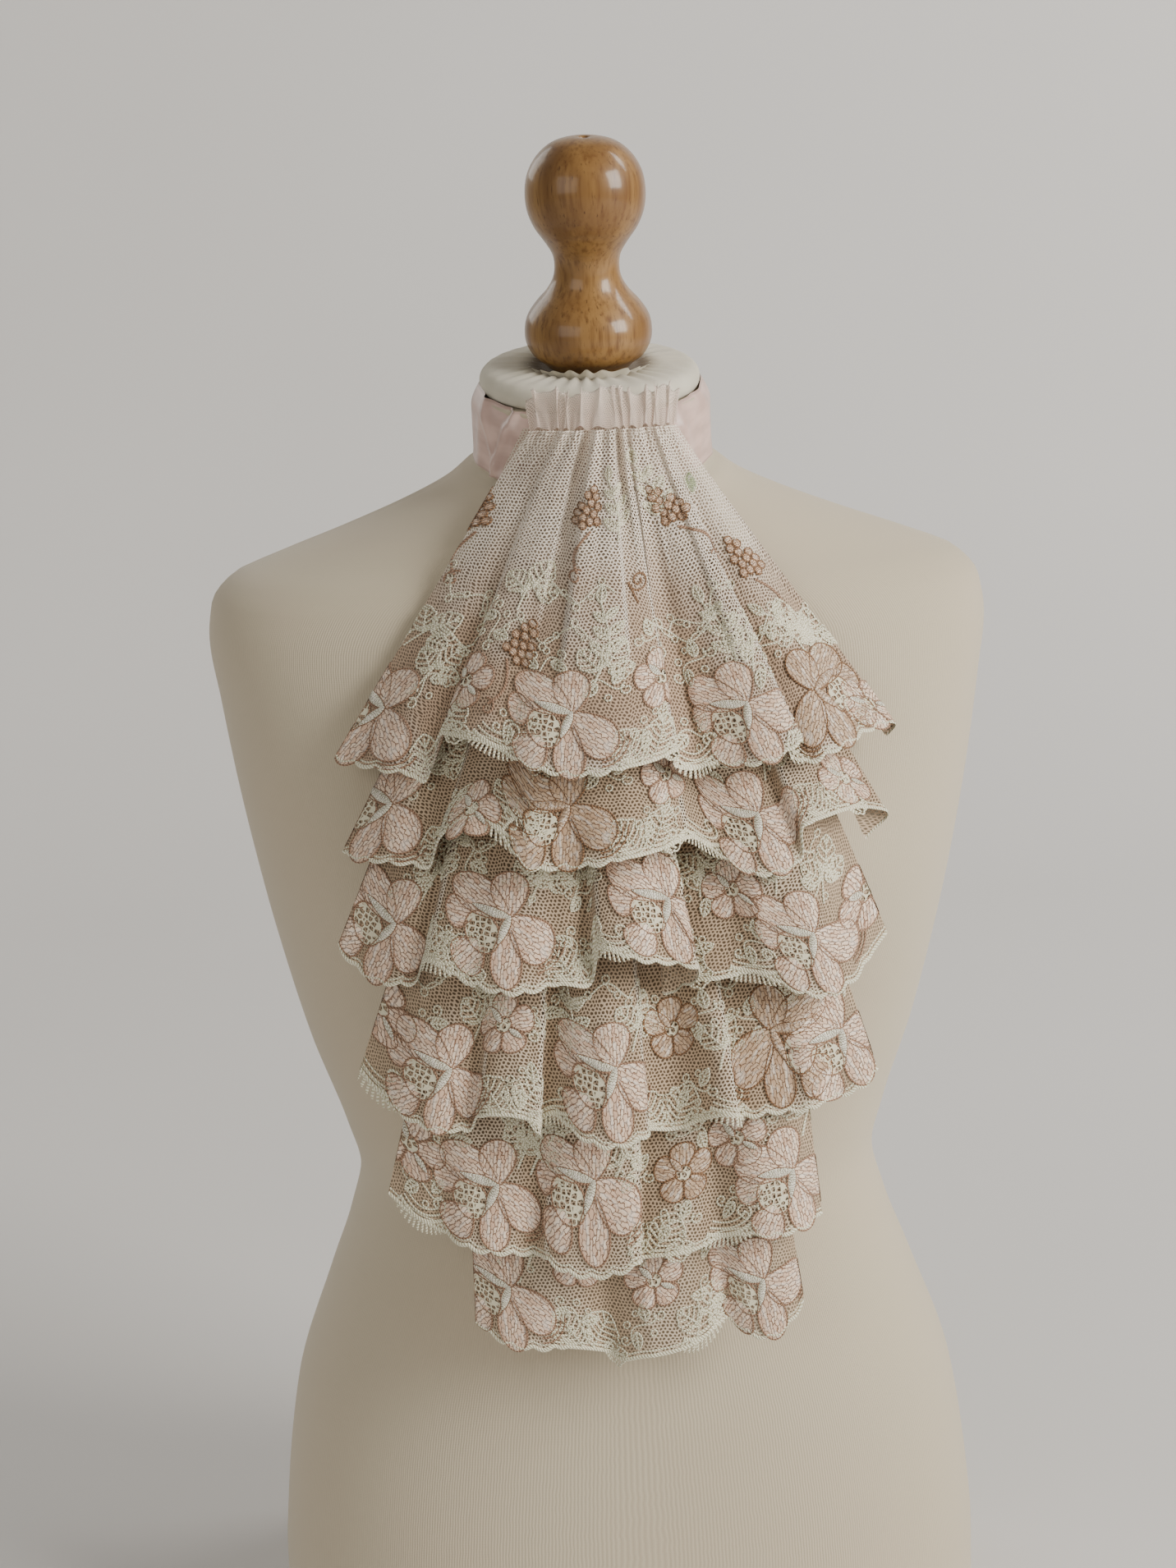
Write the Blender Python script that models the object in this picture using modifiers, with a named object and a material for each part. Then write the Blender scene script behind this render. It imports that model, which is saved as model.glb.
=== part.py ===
# Lace jabot of six gathered tiers on a limbless dress form.
# Metres, Z up. The form stands on its flat bottom at Z = 0 and faces -Y.
# Tables hold millimetres, as the sizes were read and rounded by hand.
import math
from collections import namedtuple

import bpy
import numpy as np

MM = 0.001

# Driving sizes
CLOTH_WALL = 1.0 * MM
SEAM_GAP = 0.3 * MM
TIER_CLEARANCE = 1.0 * MM
NECK_TILT = math.radians(12.0)
RIBBON_TILT = math.radians(16.0)

# Form: one row for each level, from the flat bottom to the top of the neck.
# front and back are measured from the plane of the side seams.
Section = namedtuple("Section", "height half_width front back squareness tilt")
FORM_SECTIONS = [
    Section(0, 186, 109, 115, 2.5, 0),
    Section(8, 188.5, 111, 118, 2.5, 0),
    Section(45, 188.5, 113, 123, 2.5, 0),
    Section(80, 186, 113, 124, 2.5, 0),
    Section(140, 177.5, 111, 119, 2.45, 0),
    Section(200, 157, 105, 106, 2.4, 0),
    Section(235, 144, 100, 97, 2.35, 0),
    Section(265, 137, 97, 92, 2.3, 0),
    Section(290, 143, 98, 93, 2.3, 0),
    Section(340, 159.5, 104, 99, 2.35, 0),
    Section(400, 174, 114, 105, 2.45, 0),
    Section(435, 181, 117, 108, 2.5, 0),
    Section(475, 188, 112, 110, 2.6, 0),
    Section(520, 194.5, 100, 109, 2.7, 0),
    Section(550, 198.5, 90, 104, 2.6, 1),
    Section(567, 196.5, 84, 98, 2.35, 2),
    Section(579, 187, 79, 93, 2.1, 3),
    Section(588, 166, 75.5, 89, 1.9, 4),
    Section(600, 132.5, 71.5, 84, 1.8, 5),
    Section(612, 100, 67.5, 78, 1.8, 7),
    Section(622, 77, 64.5, 71, 1.9, 9.5),
    Section(629.5, 66, 62.5, 65, 2.0, 12),
    Section(635, 59.2, 60.2, 60.2, 2.0, 14.5),
    Section(650, 58.3, 59.4, 59.0, 2.0, 15),
    Section(662, 57.9, 58.8, 58.4, 2.0, 13.5),
    Section(668, 57.4, 58, 57.8, 2.0, 12),
]
FORM_COLUMNS = 40
LONGEST_RING_STEP = 26 * MM
BUST_ACROSS = 80 * MM
BUST_HEIGHT = 432 * MM
BUST_RISE = 12 * MM
BUST_REACH = 48 * MM

# Cap on the neck and turned knob, both along the tilted neck axis.
CAP_BASE_HEIGHT = 668.4 * MM
CAP_GATHERS = 16
CAP_GATHER_RISE = 1.1 * MM
CapRing = namedtuple("CapRing", "radius rise gather")
CAP_RINGS = [
    CapRing(52.5, 0.0, 0.0),
    CapRing(55.4, 2.2, 0.0),
    CapRing(55.9, 6.0, 0.0),
    CapRing(53.8, 9.6, 0.1),
    CapRing(48.5, 11.6, 0.25),
    CapRing(38.0, 11.9, 0.7),
    CapRing(29.0, 11.7, 1.0),
    CapRing(26.0, 11.3, 0.8),
    CapRing(23.6, 10.9, 0.0),
]
KNOB_SEAT = 11.2 * MM
KNOB_STEPS = 28
KnobRing = namedtuple("KnobRing", "rise radius")
KNOB_PROFILE = [
    KnobRing(0, 21.0), KnobRing(2, 23.0), KnobRing(6, 28.0), KnobRing(12, 31.3), KnobRing(18, 32.0),
    KnobRing(25, 30.6), KnobRing(32, 26.0), KnobRing(38, 20.6), KnobRing(44, 17.2), KnobRing(50, 16.2),
    KnobRing(56, 17.0), KnobRing(62, 20.4), KnobRing(70, 25.9), KnobRing(78, 29.0), KnobRing(87, 29.8),
    KnobRing(96, 28.2), KnobRing(104, 23.6), KnobRing(110, 16.5), KnobRing(112.6, 8.0), KnobRing(112.8, 2.6),
    KnobRing(109, 2.0),
]

# Satin ribbon: a band round the neck, lower in front, its ends lapped at the back.
RIBBON_HALF_WIDTH = 60.4 * MM
RIBBON_HALF_DEPTH = 61.6 * MM
RIBBON_LOWER = 637.2 * MM
RIBBON_UPPER = 672.5 * MM
RIBBON_LAP = math.radians(12)
RIBBON_LAP_STEP = 0.8 * MM
RIBBON_COLUMNS = 56

# Front that the jabot hangs on: it follows the ribbon and the chest as far as the bust and
# then drops straight. forward is the distance from the side seams, bow how far it falls back
# at the side, per square millimetre.
Hang = namedtuple("Hang", "height forward bow")
HANG_LINE = [
    Hang(190, 134.0, 0.0003),
    Hang(300, 135.5, 0.0003),
    Hang(380, 135.5, 0.0004),
    Hang(432, 134.5, 0.0005),
    Hang(470, 128.0, 0.0006),
    Hang(505, 118.0, 0.0008),
    Hang(540, 104.5, 0.0012),
    Hang(570, 91.0, 0.0018),
    Hang(600, 77.0, 0.0032),
    Hang(618, 68.2, 0.0052),
    Hang(636, 64.0, 0.0078),
    Hang(672, 64.0, 0.0088),
]

# Backing panel: its half width at each level.
BackingRow = namedtuple("BackingRow", "height half_width")
BACKING_ROWS = [
    BackingRow(372, 80), BackingRow(448, 82), BackingRow(502, 80), BackingRow(556, 76),
    BackingRow(608, 58), BackingRow(652, 36),
]
BACKING_COLUMNS = 18
BACKING_LEVELS = [652, 643, 634, 625, 616, 606, 592, 574, 556, 530, 502, 475, 445, 410, 372]
BACKING_SET_BACK = 0.3 * MM

# Header frill above the stitching line.
FRILL_FOOT = 651.5 * MM
FRILL_HEIGHT = 19 * MM
FRILL_HALF_WIDTH = 36 * MM
FRILL_SHIFT = 3 * MM
FRILL_PLEATS = 14
FRILL_COLUMNS = 71
FRILL_RUFFLE = 2.3 * MM
FRILL_LEAN = 2.0 * MM

# Tiers: one row for each panel between two folds, from the wearer's right to the left, as seen
# from above at the hem. left and right are the panel's edges across the front, lift is how far
# it stands forward there and at its middle, hem the height of its lower edge. tuck is how far
# the cloth runs back behind the right edge, at the lift under and the height hem_under.
Fold = namedtuple(
    "Fold",
    "left right lift_left lift_middle lift_right hem_left hem_middle hem_right tuck under hem_under",
)
Tier = namedtuple("Tier", "name heading half_width shift gathers folds")
TIERS = [
    Tier("tier_1", 651, 36, 3, 10, [
        Fold(-134, -89, 3, 8, 4, 503, 501, 492, 0, 0, 0),
        Fold(-86, -55, 8, 15, 14, 515, 516, 511, 0, 0, 0),
        Fold(-50, 27, 17, 23, 15, 509, 505, 509, 5, 6, 502),
        Fold(34, 87, 3, 19, 16, 497, 502, 512, 10, 8, 503),
        Fold(88, 139, 5, 13, 8, 497, 507, 506, 6, 1, 499),
    ]),
    Tier("tier_2", 608, 54, 5, 10, [
        Fold(-132, -90, 3, 9, 3, 460, 460, 454, 0, 0, 0),
        Fold(-88, -50, 10, 17, 20, 467, 481, 464, 0, 0, 0),
        Fold(-46, 30, 21, 23, 15, 462, 464, 468, 0, 0, 0),
        Fold(38, 85, 9, 6, 3, 462, 450, 455, 0, 0, 0),
        Fold(83, 132, 11, 15, 7, 468, 472, 465, 14, 0.8, 454),
    ]),
    Tier("tier_3", 556, 72, -2, 11, [
        Fold(-137, -98, 3, 9, 3, 415, 403, 401, 0, 0, 0),
        Fold(-96, -16, 13, 21, 9, 413, 404, 402, 0, 0, 0),
        Fold(-15, 34, 18, 24, 19, 421, 415, 408, 19, 6, 391),
        Fold(14, 58, 2, 4, 11, 396, 397, 400, 0, 0, 0),
        Fold(63, 128, 13, 16, 4, 399, 391, 408, 0, 0, 0),
    ]),
    Tier("tier_4", 502, 74, -2, 11, [
        Fold(-130, -76, 3, 11, 4, 352, 334, 329, 0, 0, 0),
        Fold(-74, -43, 11, 17, 16, 337, 338, 331, 4, 9, 331),
        Fold(-38, 8, 9, 19, 14, 337, 327, 329, 5, 6, 326),
        Fold(9, 31, 3, 3, 8, 325, 322, 327, 0, 0, 0),
        Fold(35, 52, 11, 15, 13, 329, 332, 330, 4, 6, 328),
        Fold(54, 86, 3, 4, 9, 328, 332, 331, 0, 0, 0),
        Fold(90, 121, 10, 12, 4, 333, 335, 343, 0, 0, 0),
    ]),
    Tier("tier_5", 448, 77, -2, 11, [
        Fold(-119, -47, 3, 11, 4, 290, 270, 261, 0, 0, 0),
        Fold(-45, 3, 11, 18, 14, 262, 256, 260, 5, 7, 257),
        Fold(4, 38, 3, 7, 3, 257, 259, 263, 0, 0, 0),
        Fold(42, 92, 4, 12, 4, 264, 269, 272, 0, 0, 0),
    ]),
    Tier("tier_6", 378, 70, -8, 9, [
        Fold(-79, -12, 3, 11, 4, 224, 211, 202, 0, 0, 0),
        Fold(-9, 41, 7, 14, 7, 199, 205, 217, 0, 0, 0),
        Fold(45, 83, 3, 10, 3, 219, 211, 225, 0, 0, 0),
    ]),
]
TIER_LEVELS = np.array([0.0, 0.1, 0.28, 0.52, 0.76, 1.0])
TIER_COLUMN_STEP = 6.2
BEND_WEIGHT = 1.2
GATHER_RISE = 0.8 * MM
GATHER_FADE = 0.22
LIFT_OPENING = 0.55
MAP_CELL = 2.5 * MM
MAP_HALF_WIDTH = 170 * MM
MAP_LOWER = 180 * MM
MAP_UPPER = 680 * MM
PATH_STEPS = 24
PATH_STEP = 1.0
FOLD_ROUNDING = 20
UPPER_ROUNDING = 90
SHARP_FROM = 0.7
LEAST_LIFT = 0.6


def smooth_between(keys, values, at):
    """Cubic curve through a table's column that never overshoots its rows."""
    keys = np.asarray(keys, float)
    values = np.asarray(values, float)
    at = np.asarray(at, float)
    step = np.diff(keys)
    slope = np.diff(values) / step
    tangent = np.zeros(len(keys))
    same_way = slope[:-1] * slope[1:] > 0
    pair_sum = np.where(same_way, slope[:-1] + slope[1:], 1.0)
    tangent[1:-1] = np.where(same_way, 2 * slope[:-1] * slope[1:] / pair_sum, 0.0)
    tangent[0] = slope[0]
    tangent[-1] = slope[-1]
    span = np.clip(np.searchsorted(keys, at) - 1, 0, len(step) - 1)
    along = np.clip((at - keys[span]) / step[span], 0.0, 1.0)
    back = 1 - along
    start = (1 + 2 * along) * back**2 * values[span]
    leave = along * back**2 * step[span] * tangent[span]
    end = along**2 * (3 - 2 * along) * values[span + 1]
    arrive = along**2 * (along - 1) * step[span] * tangent[span + 1]
    return start + leave + end + arrive


def table_column(rows, column, at):
    """One named column of a table at the heights given in metres."""
    keys = [row.height for row in rows]
    values = [getattr(row, column) for row in rows]
    return smooth_between(keys, values, np.asarray(at) / MM)


def smooth_path(points, steps):
    """Centripetal curve through the points, sampled the same number of times in each span."""
    points = np.asarray(points, float)
    first = 2 * points[0] - points[1]
    last = 2 * points[-1] - points[-2]
    points = np.vstack([first, points, last])
    knots = np.concatenate([[0], np.cumsum(np.linalg.norm(np.diff(points[:, :2], axis=0), axis=1) ** 0.5)])
    pieces = []
    for i in range(1, len(points) - 2):
        t0, t1, t2, t3 = knots[i - 1 : i + 3]
        p0, p1, p2, p3 = points[i - 1 : i + 3]
        t = np.linspace(t1, t2, steps, endpoint=False)[:, None]
        a1 = (t1 - t) / (t1 - t0) * p0 + (t - t0) / (t1 - t0) * p1
        a2 = (t2 - t) / (t2 - t1) * p1 + (t - t1) / (t2 - t1) * p2
        a3 = (t3 - t) / (t3 - t2) * p2 + (t - t2) / (t3 - t2) * p3
        b1 = (t2 - t) / (t2 - t0) * a1 + (t - t0) / (t2 - t0) * a2
        b2 = (t3 - t) / (t3 - t1) * a2 + (t - t1) / (t3 - t1) * a3
        pieces.append((t2 - t) / (t2 - t1) * b1 + (t - t1) / (t2 - t1) * b2)
    pieces.append(points[-2:-1])
    return np.vstack(pieces)


def rounded(path, rounds):
    """The path with its bends eased by averaging neighbours; both ends stay."""
    path = path.copy()
    for _ in range(rounds):
        path[1:-1] = (path[:-2] + 2 * path[1:-1] + path[2:]) / 4
    return path


def hang_front(across, height):
    """Distance forward of the surface that the jabot hangs on."""
    forward = table_column(HANG_LINE, "forward", height)
    bow = table_column(HANG_LINE, "bow", height)
    return (forward - bow * (across / MM) ** 2) * MM


def hem_points(tier):
    """Points of a tier's hem seen from above: across, lift and height, in millimetres."""
    points = []
    for fold in tier.folds:
        left = np.array([fold.left, fold.lift_left, fold.hem_left], float)
        right = np.array([fold.right, fold.lift_right, fold.hem_right], float)
        middle = np.array([(fold.left + fold.right) / 2, fold.lift_middle, fold.hem_middle], float)
        near_left = left * [0.65, 0.35, 0.45] + middle * [0.35, 0.65, 0.55]
        near_right = right * [0.65, 0.35, 0.45] + middle * [0.35, 0.65, 0.55]
        points += [left, near_left, middle, near_right, right]
        if fold.tuck > 0:
            points.append(np.array([fold.right - fold.tuck, fold.under, fold.hem_under], float))
    return np.array(points)


def hem_columns(tier):
    """The hem's path, a softer one for the upper part, and columns that lie closer at bends."""
    path = smooth_path(hem_points(tier), PATH_STEPS)
    path[:, 1] = np.maximum(path[:, 1], LEAST_LIFT)
    along = np.concatenate([[0], np.cumsum(np.linalg.norm(np.diff(path[:, :2], axis=0), axis=1))])
    even = np.linspace(0, along[-1], int(along[-1] / PATH_STEP) + 1)
    path = np.stack([np.interp(even, along, path[:, k]) for k in range(3)], axis=1)
    path = rounded(path, FOLD_ROUNDING)
    plan = np.diff(path[:, :2], axis=0)
    length = np.linalg.norm(plan, axis=1)
    heading = np.unwrap(np.arctan2(plan[:, 1], plan[:, 0]))
    turn = np.abs(np.diff(heading, prepend=heading[0]))
    along = np.concatenate([[0], np.cumsum(length)])
    measure = np.concatenate([[0], np.cumsum(length + BEND_WEIGHT * turn)])
    count = int(round(measure[-1] / TIER_COLUMN_STEP)) + 1
    stops = np.interp(np.linspace(0, measure[-1], count), measure, along)
    return path, rounded(path, UPPER_ROUNDING), along, measure, stops


def tier_points(tier, hem_path, stops, levels, under_map):
    """Points of a tier: rows run down from the heading, columns run along the hem."""
    path, upper_path, along, measure = hem_path
    share = np.interp(stops, along, measure) / measure[-1]
    down = np.asarray(levels)[:, None]
    sharp = np.clip(down / SHARP_FROM, 0, 1)
    hem = [
        (np.interp(stops, along, path[:, k]) * sharp + np.interp(stops, along, upper_path[:, k]) * (1 - sharp)) * MM
        for k in range(3)
    ]
    top_across = (tier.shift + tier.half_width * (2 * share - 1)) * MM
    across = top_across + (hem[0] - top_across) * down
    height = tier.heading * MM + (hem[2] - tier.heading * MM) * down
    wave = 1 + np.sin(2 * math.pi * tier.gathers * share)
    fade = np.clip(1 - down / GATHER_FADE, 0, 1) ** 2
    lift = GATHER_RISE * wave * (0.15 + 0.85 * fade) * (1 - down) + hem[1] * down**LIFT_OPENING
    under = read_map(under_map, across, height)
    forward = hang_front(across, height) + SEAM_GAP + CLOTH_WALL / 2 + under + lift
    return np.stack([across, -forward, height], axis=-1), under + lift


def empty_map():
    """Depth of the cloth already hung, on a grid of cells across and up the front."""
    across_cells = int(2 * MAP_HALF_WIDTH / MAP_CELL) + 1
    height_cells = int((MAP_UPPER - MAP_LOWER) / MAP_CELL) + 1
    return np.zeros((height_cells, across_cells))


def widened(grid, rounds):
    """Each cell takes the largest value among its neighbours, as many times as asked."""
    for _ in range(rounds):
        padded = np.pad(grid, 1, mode="edge")
        grid = np.max(
            [padded[1:-1, 1:-1], padded[:-2, 1:-1], padded[2:, 1:-1], padded[1:-1, :-2], padded[1:-1, 2:]],
            axis=0,
        )
    return grid


def softened(grid, rounds):
    """Each cell takes the mean of its neighbours, as many times as asked."""
    for _ in range(rounds):
        padded = np.pad(grid, 1, mode="edge")
        grid = (padded[:-2, 1:-1] + padded[2:, 1:-1] + padded[1:-1, :-2] + padded[1:-1, 2:]) / 4
    return grid


def map_of(points, depth):
    """The outer depth of a tier's cloth, widened a little so that the next one hangs clear."""
    grid = empty_map()
    columns = np.rint((points[..., 0] + MAP_HALF_WIDTH) / MAP_CELL).astype(int)
    rows = np.rint((points[..., 2] - MAP_LOWER) / MAP_CELL).astype(int)
    np.maximum.at(grid, (rows.ravel(), columns.ravel()), depth.ravel() + CLOTH_WALL + TIER_CLEARANCE)
    near = widened(grid, 2)
    return np.maximum(near, softened(widened(grid, 4), 6))


def read_map(grid, across, height):
    """Value of the grid between its cells."""
    column = np.clip((across + MAP_HALF_WIDTH) / MAP_CELL, 0, grid.shape[1] - 1.001)
    row = np.clip((height - MAP_LOWER) / MAP_CELL, 0, grid.shape[0] - 1.001)
    c = column.astype(int)
    r = row.astype(int)
    u = column - c
    w = row - r
    low = grid[r, c] * (1 - u) + grid[r, c + 1] * u
    high = grid[r + 1, c] * (1 - u) + grid[r + 1, c + 1] * u
    return low * (1 - w) + high * w


def surface_object(name, points, material):
    """Open sheet from rows of points, given its wall by Solidify."""
    rows, columns = points.shape[:2]
    corner = (np.arange(rows - 1)[:, None] * columns + np.arange(columns - 1)[None, :]).ravel()
    faces = np.stack([corner, corner + columns, corner + columns + 1, corner + 1], axis=1)
    mesh = bpy.data.meshes.new(name)
    mesh.from_pydata(points.reshape(-1, 3).tolist(), [], faces.tolist())
    obj = add_object(name, mesh, material)
    wall = obj.modifiers.new("wall", "SOLIDIFY")
    wall.thickness = CLOTH_WALL
    wall.offset = 0.0
    wall.use_rim = True
    return obj


def loft_object(name, rings, material):
    """Closed body through rings of points, with a flat face at each end."""
    count = rings.shape[1]
    vertices = rings.reshape(-1, 3).tolist()
    faces = []
    for ring in range(len(rings) - 1):
        for k in range(count):
            after = (k + 1) % count
            low = ring * count
            high = low + count
            faces.append([low + k, low + after, high + after, high + k])
    faces.append(list(range(count))[::-1])
    faces.append([(len(rings) - 1) * count + k for k in range(count)])
    mesh = bpy.data.meshes.new(name)
    mesh.from_pydata(vertices, [], faces)
    return add_object(name, mesh, material)


def add_object(name, mesh, material):
    mesh.materials.append(material)
    obj = bpy.data.objects.new(name, mesh)
    parts.objects.link(obj)
    return obj


def plain_material(name, colour, roughness):
    material = bpy.data.materials.new(name)
    material.use_nodes = True
    shader = material.node_tree.nodes["Principled BSDF"]
    shader.inputs["Base Color"].default_value = (*colour, 1.0)
    shader.inputs["Roughness"].default_value = roughness
    return material


def form_ring(height, count):
    """One level of the form: a rounded oval, fuller at the bust, tilted towards the neck."""
    half_width = table_column(FORM_SECTIONS, "half_width", height) * MM
    front = table_column(FORM_SECTIONS, "front", height) * MM
    back = table_column(FORM_SECTIONS, "back", height) * MM
    power = 2 / table_column(FORM_SECTIONS, "squareness", height)
    tilt = math.tan(math.radians(float(table_column(FORM_SECTIONS, "tilt", height))))
    angle = np.arange(count) * 2 * math.pi / count
    x = half_width * np.sign(np.cos(angle)) * np.abs(np.cos(angle)) ** power
    reach = np.where(np.sin(angle) < 0, front, back)
    y = reach * np.sign(np.sin(angle)) * np.abs(np.sin(angle)) ** power
    apart = (np.abs(x) - BUST_ACROSS) ** 2 + (height - BUST_HEIGHT) ** 2
    rise = BUST_RISE * np.exp(-apart / BUST_REACH**2)
    y = y - np.where(np.sin(angle) < 0, rise * np.abs(np.sin(angle)), 0)
    z = height + y * tilt
    return np.stack([x, y, z], axis=1)


def build_form():
    heights = []
    for low, high in zip(FORM_SECTIONS[:-1], FORM_SECTIONS[1:]):
        steps = max(1, round((high.height - low.height) * MM / LONGEST_RING_STEP))
        heights += list(np.linspace(low.height, high.height, steps, endpoint=False) * MM)
    heights.append(FORM_SECTIONS[-1].height * MM)
    rings = np.array([form_ring(height, FORM_COLUMNS) for height in heights])
    loft_object("form_body", rings, jersey)


def build_cap():
    """Padded cap: its cover is drawn into small gathers towards the knob."""
    count = CAP_GATHERS * 4
    angle = np.arange(count) * 2 * math.pi / count
    rings = []
    for ring in CAP_RINGS:
        wave = CAP_GATHER_RISE * ring.gather * np.cos(CAP_GATHERS * angle)
        rise = np.full(count, ring.rise * MM) + wave
        rings.append(np.stack([ring.radius * MM * np.cos(angle), ring.radius * MM * np.sin(angle), rise], axis=1))
    cap = loft_object("form_cap", np.array(rings), cotton)
    set_on_neck(cap, 0.0)


def build_knob():
    """Knob turned from its profile round its own axis."""
    profile = [(0, 0, 0)]
    profile += [(ring.radius * MM, 0, ring.rise * MM) for ring in KNOB_PROFILE]
    profile.append((0, 0, KNOB_PROFILE[-1].rise * MM))
    edges = [(k, k + 1) for k in range(len(profile) - 1)]
    mesh = bpy.data.meshes.new("neck_knob")
    mesh.from_pydata(profile, edges, [])
    knob = add_object("neck_knob", mesh, beech)
    turning = knob.modifiers.new("turning", "SCREW")
    turning.steps = KNOB_STEPS
    turning.render_steps = KNOB_STEPS
    turning.use_merge_vertices = True
    turning.merge_threshold = 1e-5
    turning.use_normal_calculate = True
    set_on_neck(knob, KNOB_SEAT)


def set_on_neck(obj, along_axis):
    """Places an object on the tilted neck axis, above the neck's top face."""
    obj.rotation_euler = (NECK_TILT, 0, 0)
    obj.location = (0, -along_axis * math.sin(NECK_TILT), CAP_BASE_HEIGHT + along_axis * math.cos(NECK_TILT))


def build_ribbon():
    """Ribbon round the neck; its radius grows along it, so the lapped end lies outside."""
    half_turn = math.pi + RIBBON_LAP
    angle = np.linspace(-half_turn, half_turn, RIBBON_COLUMNS)
    growth = RIBBON_LAP_STEP * angle / half_turn
    x = (RIBBON_HALF_WIDTH + growth) * np.sin(angle)
    y = -(RIBBON_HALF_DEPTH + growth) * np.cos(angle)
    levels = np.linspace(RIBBON_UPPER, RIBBON_LOWER, 3)[:, None]
    z = levels + y * math.tan(RIBBON_TILT)
    shape = np.broadcast_shapes(z.shape, x.shape)
    points = np.stack([np.broadcast_to(x, shape), np.broadcast_to(y, shape), z], axis=-1)
    surface_object("neck_ribbon", points, satin)


def build_backing():
    """Shaped panel that hangs from the ribbon behind the tiers."""
    height = np.array(BACKING_LEVELS)[:, None] * MM
    half_width = table_column(BACKING_ROWS, "half_width", height) * MM
    across = half_width * np.linspace(-1, 1, BACKING_COLUMNS)
    height = np.broadcast_to(height, across.shape)
    forward = hang_front(across, height) - CLOTH_WALL / 2 - BACKING_SET_BACK
    surface_object("backing", np.stack([across, -forward, height], axis=-1), tulle)


def build_frill():
    """Gathered header: small pleats at the stitching line that open upwards."""
    share = np.linspace(0, 1, FRILL_COLUMNS)
    rise = np.array([1.0, 0.7, 0.35, 0.0])[:, None]
    across = FRILL_SHIFT + FRILL_HALF_WIDTH * (2 * share - 1) + 0 * rise
    height = FRILL_FOOT + FRILL_HEIGHT * rise + 0 * across
    ruffle = (0.35 + 0.65 * rise) * FRILL_RUFFLE / 2
    wave = ruffle * (1 + np.sin(2 * math.pi * FRILL_PLEATS * share))
    forward = hang_front(across, height) + SEAM_GAP + CLOTH_WALL / 2 + wave + FRILL_LEAN * rise**1.5
    surface_object("header_frill", np.stack([across, -forward, height], axis=-1), tulle)


def build_tiers():
    """Hangs the lowest tier first; each one above lies on the depth of the one beneath."""
    under_map = empty_map()
    for tier in reversed(TIERS):
        *hem_path, stops = hem_columns(tier)
        points, _ = tier_points(tier, hem_path, stops, TIER_LEVELS, under_map)
        surface_object(tier.name, points, lace)
        fine_stops = np.linspace(0, stops[-1], 500)
        fine_levels = np.linspace(0, 1, 150)
        fine, depth = tier_points(tier, hem_path, fine_stops, fine_levels, under_map)
        under_map = map_of(fine, depth)


for old in list(bpy.data.objects):
    bpy.data.objects.remove(old, do_unlink=True)
parts = bpy.data.collections.new("lace_jabot")
bpy.context.scene.collection.children.link(parts)

jersey = plain_material("cream_jersey", (0.62, 0.57, 0.50), 0.9)
cotton = plain_material("gathered_cotton", (0.64, 0.62, 0.56), 0.85)
beech = plain_material("varnished_beech", (0.42, 0.22, 0.09), 0.3)
satin = plain_material("pink_satin", (0.50, 0.36, 0.35), 0.45)
tulle = plain_material("pale_tulle", (0.70, 0.62, 0.56), 0.8)
lace = plain_material("embroidered_tulle", (0.66, 0.52, 0.44), 0.8)

build_form()
build_cap()
build_knob()
build_ribbon()
build_backing()
build_frill()
build_tiers()
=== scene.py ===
# %% [markdown]
# A lace jabot on a dress form.
# The real one is six strips of embroidered tulle, each gathered along its top edge and sewn one
# above the other to a plain panel that hangs from a satin neck ribbon. It is shown on a limbless
# form covered in ribbed jersey, with a padded cap and a turned wooden knob.
# Every cloth here is a surface of two parameters, worked out with numpy and written straight
# into a mesh. The embroidery is drawn flat in millimetres and then laid onto the gathered cloth,
# so that a petal keeps its size wherever the cloth goes.

# %% Load the frame
import math
from collections import namedtuple

import bmesh
import bpy
import mathutils
import numpy as np
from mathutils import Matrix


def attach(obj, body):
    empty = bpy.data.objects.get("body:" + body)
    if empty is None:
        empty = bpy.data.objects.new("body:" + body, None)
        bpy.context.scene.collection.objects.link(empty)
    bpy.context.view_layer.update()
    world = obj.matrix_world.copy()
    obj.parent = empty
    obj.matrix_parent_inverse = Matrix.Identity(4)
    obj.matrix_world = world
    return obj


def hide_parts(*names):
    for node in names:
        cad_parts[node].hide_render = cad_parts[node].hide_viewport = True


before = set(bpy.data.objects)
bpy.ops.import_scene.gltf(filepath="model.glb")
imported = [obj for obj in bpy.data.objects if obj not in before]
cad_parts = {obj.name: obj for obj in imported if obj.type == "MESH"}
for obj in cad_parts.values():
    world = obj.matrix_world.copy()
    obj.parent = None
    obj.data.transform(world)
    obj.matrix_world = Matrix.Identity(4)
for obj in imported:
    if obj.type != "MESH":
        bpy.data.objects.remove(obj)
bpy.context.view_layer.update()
MM = 0.001
print("nodes:", sorted(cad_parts))

# %% [markdown]
# The camera.
# A photo of an upright object keeps its proportions only if the view's distance and tilt are
# right. Both sides of the form should come out alike, and that fixes the camera: a long lens,
# 1.35 m away, looking down a little and turned slightly to one side.

# %% Camera
PHOTO_WIDTH = 1432
PHOTO_HEIGHT = 1910
FOCAL_PIXELS = 3145
AIM_COLUMN = 735
SENSOR_MM = 36.0
CAMERA_DISTANCE = 1.35
CAMERA_AIM = np.array([0.0, 0.0, 0.462])
CAMERA_PITCH = math.radians(12)
CAMERA_YAW = math.radians(3)
CAMERA_ROLL = math.radians(2)


def standing(right, up, away, place):
    """Matrix of an object at a place, from where its own right, up and back point."""
    matrix = np.eye(4)
    matrix[:3, :3] = np.stack([right, up, away], axis=1)
    matrix[:3, 3] = place
    return mathutils.Matrix(matrix.tolist())


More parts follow.
